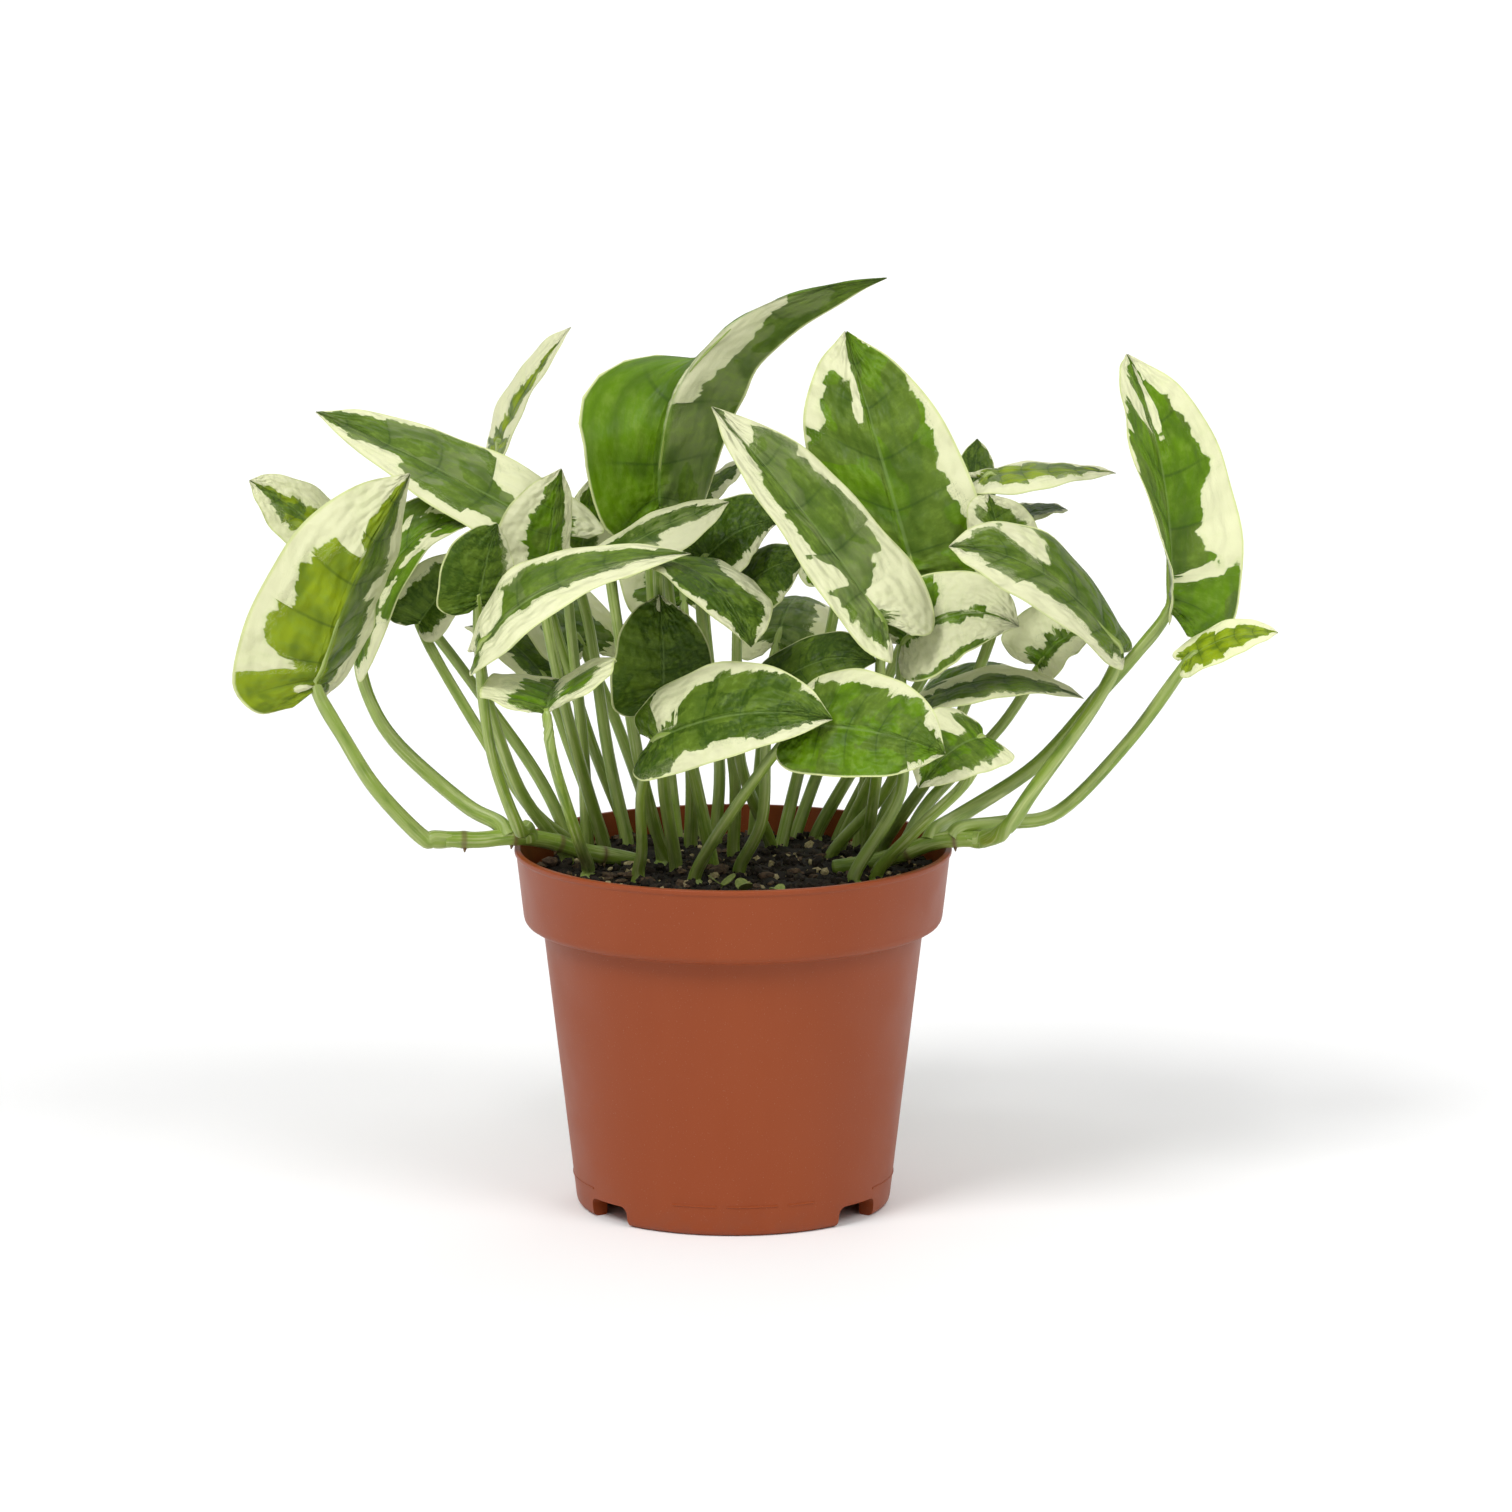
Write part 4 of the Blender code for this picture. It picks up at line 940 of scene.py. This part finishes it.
def make_seedlings():
    """Three tiny round-leaved seedlings on the soil."""
    points, faces = [], []
    for x, y, turn, size in ((-3, -32, 0.3, 2.6), (3, -38, 1.9, 2.3), (12, -43, 1.1, 1.9)):
        foot = Vector((x * MM, y * MM, SOIL_LEVEL))
        for half in (0, 1):
            way = Vector((*around(1.0, turn + half * math.pi), 0.75)).normalized()
            centre = foot + UP * (2.6 * MM) + way * (size * 0.9 * MM)
            side = way.cross(UP).normalized()
            up = side.cross(way)
            for thick in (1, -1):
                start = len(points)
                points.append(centre + up * (thick * 0.15 * MM))
                for k in range(14):
                    a = 2 * math.pi * k / 14
                    points.append(
                        centre
                        + (way * math.cos(a) + side * math.sin(a) * 0.86) * (size * MM)
                        + up * ((thick * 0.12 + 0.18) * MM)
                    )
                for k in range(14):
                    corners = (start, start + 1 + k, start + 1 + (k + 1) % 14)
                    faces.append(corners if thick < 0 else corners[::-1])
            base = start - 15
            for k in range(14):
                a, b = base + 1 + k, base + 1 + (k + 1) % 14
                faces.append((a, b, b + 15, a + 15))
        stalk = [foot + Vector(step) * MM for step in ((0, 0, -1), (0.2, 0, 1.4), (0, 0, 2.7))]
        more, rows = tube(smooth_path(stalk, 3), [0.0004] * 7, Vector((1, 0, 0)), 8)[:2]
        start = len(points)
        points += more
        faces += [tuple(start + k for k in row) for row in rows]
    mesh = smooth_mesh("Seedlings", points, faces, 40)
    material = grain_material("seedling_green", (0.22, 0.26, 0.06), (0.10, 0.14, 0.02), 0.5)
    keep(link_mesh("Seedlings", mesh, material), "green_stem")


# ---------------------------------------------------------------- stems and leaves


def stem_points(name):
    points = []
    for x, y, z in STEMS[name]:
        height = SOIL_LEVEL + STEM_RADIUS if z is None else POT_HEIGHT + z * MM
        points.append(Vector((x * MM, y * MM, height)))
    return points


def leaf_row(number):
    """One leaf's values by name."""
    *values, extra = LEAVES[number]
    return dict(zip(LEAF_KEYS, values), **extra)


def leaf_point(values):
    x, y, z = values
    return Vector((x * MM, y * MM, SOIL_LEVEL + z * MM))


def make_stem(name, material):
    """A trailing stem with swollen joints, brown scars and short root stubs."""
    points = stem_points(name)
    points[0].z -= 0.0022
    path = smooth_path(points, 12)
    run = [0.0]
    for a, b in zip(path, path[1:]):
        run.append(run[-1] + (b - a).length)
    joints = [run[-1] - 0.005 - JOINT_SPACING * n for n in range(6)]
    joints = [at for at in joints if at > 0.004]
    radii = []
    for i, travelled in enumerate(run):
        swell = sum(math.exp(-(((travelled - at) / 0.0014) ** 2)) for at in joints)
        radii.append(STEM_RADIUS * (1.0 - 0.06 * i / len(run) + 0.10 * swell))
    parts = [tube(path, radii, UP, 20, 0.0, len(name), joints)]
    rng = random.Random(len(name))
    for at in joints:
        i = min(range(len(run)), key=lambda n: abs(run[n] - at))
        for turn in (-0.5, 0.7):
            down = Vector((rng.uniform(-0.3, 0.3), turn, -1.0)).normalized()
            start = path[i] + down * (STEM_RADIUS * 0.7)
            stub = [start, start + down * 0.0011, start + down * 0.0019]
            spot = tube(smooth_path(stub, 2), [0.0006, 0.00055, 0.00045, 0.0003, 0.00015],
                        Vector((1, 0, 0)), 8)
            parts.append((*spot[:4], [1.0] * len(spot[0])))
    keep(join_tubes(name.capitalize(), parts, material), "green_stem", name)


def join_tubes(name, parts, material):
    points, faces, vein, channel, scar = [], [], [], [], []
    for p, f, v, c, s in parts:
        faces += [tuple(len(points) + k for k in face) for face in f]
        points += p
        vein += v
        channel += c
        scar += s
    mesh = smooth_mesh(name, points, faces)
    for key, values in (("vein", vein), ("groove", channel), ("scar", scar)):
        add_attribute(mesh, key, values)
    return link_mesh(name, mesh, material)


class Blade:
    """A leaf blade's middle surface, from its midrib and its two widest points."""

    def __init__(self, row):
        self.base = leaf_point(row["base"])
        self.tip = leaf_point(row["tip"])
        middle = leaf_point(row["mid"])
        self.bend = 2 * middle - 0.5 * (self.base + self.tip)
        self.length = (middle - self.base).length + (self.tip - middle).length
        self.cup = row["cup"]
        self.slim = row.get("slim", 0.0)
        self.twist = [math.radians(angle) for angle in row.get("twist", (0, 0))]
        self.fold = [math.radians(angle) for angle in row.get("fold", (0, 0))]
        self.sides = [self.side(leaf_point(row[key])) for key in ("left", "right")]

    def rib(self, y):
        if y < 0:
            return self.base + self.slope(0.0) * (y * self.length)
        return (1 - y) ** 2 * self.base + 2 * y * (1 - y) * self.bend + y * y * self.tip

    def slope(self, y):
        y = min(max(y, 0.0), 1.0)
        way = 2 * (1 - y) * (self.bend - self.base) + 2 * y * (self.tip - self.bend)
        return way.normalized()

    def side(self, edge):
        """The vector from the midrib to the edge, and where along the midrib it was taken."""
        at = min((0.12 + 0.02 * i for i in range(20)), key=lambda y: (edge - self.rib(y)).length)
        return at, edge - self.rib(at)

    def across(self, which, y):
        at, vector = self.sides[which]
        slope = self.slope(y)
        vector = self.slope(at).rotation_difference(slope) @ vector
        turn = self.twist[which] * min(1.0, max(0.0, (y - at) / 0.25))
        turn += self.fold[which] * min(1.0, max(0.0, (at - y) / at))
        return Quaternion(slope, turn) @ vector

    def normal(self, y):
        spread = self.across(1, y) - self.across(0, y)
        return spread.cross(self.slope(y)).normalized()

    def point(self, which, x, y):
        vector = self.across(which, y)
        width = vector.length
        lift = self.cup * x * x + 0.10 * x * (1 - x)
        return self.rib(y) + vector * x + self.normal(y) * (lift * width)


def outline_at(s, slim):
    """Where a side vein starts and ends: s runs from the notch at the base (0) to the tip (1)."""
    rows = [np.array(r) for r in OUTLINE] + [np.array((1.0, 0.0, 1.0))]
    rows = [2 * rows[0] - rows[1]] + rows + [2 * rows[-1] - rows[-2]]
    place = min(s * len(OUTLINE), len(OUTLINE) - 1e-6)
    i = int(place)
    start, x, y = (float(value) for value in on_curve(*rows[i : i + 4], place - i))
    near = slim * max(0.0, 1.0 - place / 3)
    return max(0.0, start), x * (1.0 - near), y + 0.12 * near


def reach_at(reach, s):
    """The green's reach at s, from its three given values."""
    i = 0 if s < 0.5 else 1
    t = 2 * s - i
    return reach[i] + (reach[i + 1] - reach[i]) * t * t * (3 - 2 * t)


def green_at(paint, side, s, k):
    """Above zero where the blade is green, below zero where it is cream."""
    value = reach_at(paint["left" if side == "L" else "right"], s) - k
    value = max(-0.5, min(0.5, value))
    for (which, colour), along, across, length, width in paint["patches"]:
        if which == side:
            inside = 0.5 * (1.0 - math.hypot((s - along) / length, (k - across) / width))
            value = max(value, inside) if colour == "g" else min(value, max(-0.5, -inside))
    return value


def blade_mesh_data(number, blade, paint, leaves):
    """Points, faces and attributes of one blade: an upper and a lower skin and the edge between."""
    width = 2 * HALF_COLUMNS + 1
    shares = [(j / HALF_COLUMNS) ** 0.92 for j in range(HALF_COLUMNS + 1)]
    middle, vein = np.zeros((2, BLADE_ROWS, width, 3))
    green, rise, thick = np.zeros((3, BLADE_ROWS, width))
    size = 0.5 * (blade.sides[0][1].length + blade.sides[1][1].length) / 0.018
    phase = number * 1.37
    for i in range(BLADE_ROWS):
        s = 0.99 * i / (BLADE_ROWS - 1)
        a, x, y = outline_at(s, blade.slim)
        for which, sign, side in ((0, -1, "L"), (1, 1, "R")):
            for j, k in enumerate(shares):
                column = HALF_COLUMNS + sign * j
                middle[i, column] = blade.point(which, x * k, a + (y - a) * k ** 1.3)
                vein[i, column] = (s * VEINS + 0.35 * k, k, number * 2.0 + which)
                green[i, column] = green_at(paint, side, s, k)
                quilt = abs(math.sin(math.pi * (s * VEINS + 0.35 * k))) ** 0.7 - 0.5
                fade = min(1.0, 5 * k) * (1 - k) ** 0.5 * min(1.0, 4 * (1 - s))
                wave = math.sin(2 * math.pi * (2.6 * s + 0.3 * sign) + phase)
                wave += 0.5 * math.sin(2 * math.pi * 5.7 * s + 2 * phase)
                rise[i, column] = (
                    leaves.relief * quilt * fade
                    + leaves.ripple * wave * k ** 3 * math.sin(math.pi * min(1.0, s + 0.1))
                    - MIDRIB_DEPTH * math.exp(-((k / 0.07) ** 2)) * (1 - s)
                ) * min(1.2, size)
                thick[i, column] = leaves.thickness * (1.0 - 0.65 * k ** 7) * (1 - 0.5 * s * s)
    along, over = np.gradient(middle, axis=(0, 1))
    normal = np.cross(over, along)
    normal /= np.linalg.norm(normal, axis=2)[..., None] + 1e-12
    upper = middle + normal * (rise + 0.5 * thick)[..., None]
    lower = middle + normal * (rise - 0.5 * thick)[..., None]
    count = BLADE_ROWS * width
    points = [Vector(p) for p in np.concatenate([upper.reshape(-1, 3), lower.reshape(-1, 3)])]
    faces = []
    for i in range(BLADE_ROWS - 1):
        for j in range(width - 1):
            a = i * width + j
            b, c, d = a + 1, a + 1 + width, a + width
            faces.append((a, b, c, d))
            faces.append((d + count, c + count, b + count, a + count))
    loop = list(range(width))
    loop += [i * width + width - 1 for i in range(1, BLADE_ROWS)]
    loop += [(BLADE_ROWS - 1) * width + j for j in range(width - 2, -1, -1)]
    loop += [i * width for i in range(BLADE_ROWS - 2, 0, -1)]
    for a, b in zip(loop, loop[1:] + loop[:1]):
        faces.append((b, a, a + count, b + count))
    data = {
        "vein": np.concatenate([vein.reshape(-1, 3)] * 2),
        "green": np.concatenate([green.ravel()] * 2),
        "under": np.concatenate([np.zeros(count), np.ones(count)]),
        "right": np.tile(np.arange(width) > HALF_COLUMNS, 2 * BLADE_ROWS),
        "bulk": min(1.0, size * size),
    }
    return points, faces, data


def stalk_parts(number, row, blade):
    """The stalk, from just inside the soil or stem up to the blade and on under its midrib."""
    foot = row["foot"]
    collar = 0.22
    if isinstance(foot[0], str):
        points = stem_points(foot[0])
        at = points[foot[1]]
        if foot[1] == len(points) - 1:
            onward = (at - points[-2]).normalized()
            start, above = at - onward * 0.0015, at + onward * 0.0030
            collar = -0.16
        else:
            onward = (leaf_point(row["via"][0]) - at).normalized()
            lean = (onward * 1.6 + UP).normalized()
            start = at + lean * (0.2 * STEM_RADIUS)
            above = at + lean * (STEM_RADIUS + 0.0022)
    else:
        start = Vector((foot[0] * MM, foot[1] * MM, SOIL_LEVEL - 0.0020))
        above = start + UP * 0.0049
    points = [start, above] + [leaf_point(p) for p in row["via"]]
    points.append(blade.base - blade.normal(0.0) * 0.0008)
    rib = [blade.rib(y) - blade.normal(y) * (0.0006 - 0.0002 * y) for y in (0.12, 0.35, 0.62)]
    path = smooth_path(points + rib, STALK_STEPS)
    to_blade = (len(points) - 1) * STALK_STEPS
    radii = []
    stout = row.get("stout", 1.0)
    for i in range(len(path)):
        if i <= to_blade:
            share = i / to_blade
            radius = STALK_FOOT_RADIUS + (STALK_TOP_RADIUS - STALK_FOOT_RADIUS) * share
            radius *= 1.0 + collar * math.exp(-((share / 0.09) ** 2))
            radius *= 1.0 + 0.10 * math.exp(-(((share - 0.90) / 0.05) ** 2))
        else:
            share = (i - to_blade) / (len(path) - 1 - to_blade)
            radius = STALK_TOP_RADIUS * (0.92 - 0.72 * share ** 0.6)
        radii.append(radius * stout)
    return tube(path, radii, blade.normal(0.0), STALK_SIDES, 0.20, number * 1.9)


def make_leaf(number, leaves, *materials):
    row = leaf_row(number)
    paint = dict(zip(PAINT_KEYS, PAINT[number]))
    blade = Blade(row)
    points, faces, data = blade_mesh_data(number, blade, paint, leaves)
    on_blade, blade_faces = np.zeros(len(points)), len(faces)
    more, rows, vein, channel, _ = stalk_parts(number, row, blade)
    on_stalk = np.zeros(len(more))
    faces += [tuple(len(points) + k for k in face) for face in rows]
    points += more
    name = f"leaf_{number:02d}"
    mesh = smooth_mesh(name, points, faces, 75)
    add_attribute(mesh, "vein", data["vein"], vein)
    add_attribute(mesh, "green", data["green"], on_stalk)
    add_attribute(mesh, "under", data["under"], on_stalk)
    add_attribute(mesh, "groove", on_blade, channel)
    add_attribute(mesh, "scar", on_blade, on_stalk)
    add_attribute(mesh, "painted_light_level", np.full(len(points), paint["painted_light_level"]))
    add_attribute(mesh, "bulk", np.full(len(points), data["bulk"]))
    greens = [(*GREENS[key], 1.0) for key in (paint["greens"] * 2)[:4]]
    right = np.concatenate([data["right"], on_stalk > 0])[:, None]
    add_attribute(mesh, "main_green", np.where(right, greens[2], greens[0]))
    add_attribute(mesh, "second_green", np.where(right, greens[3], greens[1]))
    index = np.zeros(len(faces), np.int32)
    index[blade_faces:] = 1
    mesh.polygons.foreach_set("material_index", index)
    keep(link_mesh(name.capitalize(), mesh, *materials), "variegated_leaf", name)


# ---------------------------------------------------------------- stage


def add_light(name, kind, place, rotation, power, **settings):
    data = bpy.data.lights.new(name, kind)
    data.energy = power
    for key, value in settings.items():
        setattr(data, key, value)
    light = bpy.data.objects.new(name, data)
    light.location = place
    light.rotation_euler = rotation
    bpy.context.scene.collection.objects.link(light)
    return light


def sun_light(name, turn, height, power, softness):
    """Soft even light from the front: turn to the right and height above the floor in degrees."""
    rotation = (math.radians(90 - height), 0.0, math.radians(turn))
    return add_light(name, "SUN", (0, 0, 2), rotation, power, angle=math.radians(softness))


def make_stage(settings):
    mesh = bpy.data.meshes.new("Floor")
    mesh.from_pydata([(-14, -8, 0), (14, -8, 0), (14, 20, 0), (-14, 20, 0)], [], [(0, 1, 2, 3)])
    floor = link_mesh("Floor", mesh, floor_material(settings.floor_colour))
    behind = Vector((0.5, 2.2, 2.4))
    to_plant = (Vector((0, 0, 0.18)) - behind).to_track_quat("-Z", "Y").to_euler()
    lights = [
        sun_light("Left_sun", -38, 50, 1.55, 24),
        sun_light("Right_sun", 42, 46, 0.85, 28),
        add_light("Back_light", "AREA", behind, to_plant, 8, shape="DISK", size=1.2),
    ]
    world = bpy.data.worlds.new("Studio")
    world.use_nodes = True
    background = world.node_tree.nodes["Background"]
    background.inputs["Color"].default_value = (1.0, 1.0, 1.0, 1.0)
    background.inputs["Strength"].default_value = 0.58
    bpy.context.scene.world = world
    bpy.context.scene.view_settings.view_transform = "Standard"

    target = Vector((0.0063, 0.0, 0.1254))
    back = Vector((0.0, -math.cos(settings.tilt), math.sin(settings.tilt)))
    data = bpy.data.cameras.new("Camera")
    data.lens = settings.lens
    data.sensor_width = 36.0
    data.clip_end = 60.0
    camera = bpy.data.objects.new("Camera", data)
    camera.location = target + back * settings.distance
    camera.rotation_euler = (math.pi / 2 - settings.tilt, 0.0, 0.0)
    bpy.context.scene.collection.objects.link(camera)
    bpy.context.scene.camera = camera


# ---------------------------------------------------------------- add-on


class PothosOperator:
    bl_options = {"REGISTER", "UNDO"}


class POTHOS_OT_pot(PothosOperator, bpy.types.Operator):
    """Build the nursery pot"""

    bl_idname = "pothos.pot"
    bl_label = "Pot"

    def execute(self, context):
        make_pot(context.scene.pothos_pot)
        return {"FINISHED"}


class POTHOS_OT_soil(PothosOperator, bpy.types.Operator):
    """Fill the pot with soil, crumbs, perlite and seedlings"""

    bl_idname = "pothos.soil"
    bl_label = "Soil"

    def execute(self, context):
        make_soil(context.scene.pothos_soil)
        make_seedlings()
        return {"FINISHED"}


class POTHOS_OT_stems(PothosOperator, bpy.types.Operator):
    """Grow the two trailing stems"""

    bl_idname = "pothos.stems"
    bl_label = "Stems"

    def execute(self, context):
        settings = context.scene.pothos_stems
        material = stalk_material("green_stem", settings.colour, settings.pale)
        for name in STEMS:
            make_stem(name, material)
        return {"FINISHED"}


class POTHOS_OT_leaves(PothosOperator, bpy.types.Operator):
    """Grow every leaf with its stalk"""

    bl_idname = "pothos.leaves"
    bl_label = "Leaves"

    def execute(self, context):
        leaves = context.scene.pothos_leaves
        stems = context.scene.pothos_stems
        blade = leaf_material(leaves.cream, leaves.edge)
        stalk = stalk_material("leaf_stalk", stems.colour, stems.pale)
        for number in LEAVES:
            make_leaf(number, leaves, blade, stalk)
        return {"FINISHED"}


class POTHOS_OT_stage(PothosOperator, bpy.types.Operator):
    """Set up the floor, the lights and the camera"""

    bl_idname = "pothos.stage"
    bl_label = "Stage"

    def execute(self, context):
        make_stage(context.scene.pothos_stage)
        return {"FINISHED"}


OPERATORS = (POTHOS_OT_pot, POTHOS_OT_soil, POTHOS_OT_stems, POTHOS_OT_leaves, POTHOS_OT_stage)


class POTHOS_PT_panel(bpy.types.Panel):
    """The plant's pieces and their settings"""

    bl_idname = "POTHOS_PT_panel"
    bl_label = "Potted Pothos"
    bl_space_type = "VIEW_3D"
    bl_region_type = "UI"
    bl_category = "Pothos"

    def draw(self, context):
        for name, operator in zip(SETTINGS, OPERATORS):
            box = self.layout.box()
            settings = getattr(context.scene, name)
            for key in settings.__annotations__:
                box.prop(settings, key)
            box.operator(operator.bl_idname)


CLASSES = (*SETTINGS.values(), *OPERATORS, POTHOS_PT_panel)


def register():
    for cls in CLASSES:
        bpy.utils.register_class(cls)
    for name, cls in SETTINGS.items():
        setattr(bpy.types.Scene, name, PointerProperty(type=cls))


def unregister():
    for name in SETTINGS:
        delattr(bpy.types.Scene, name)
    for cls in reversed(CLASSES):
        bpy.utils.unregister_class(cls)


def main():
    register()
    bpy.ops.pothos.pot()
    bpy.ops.pothos.soil()
    bpy.ops.pothos.stems()
    bpy.ops.pothos.leaves()
    bpy.ops.pothos.stage()


if __name__ == "__main__":
    main()
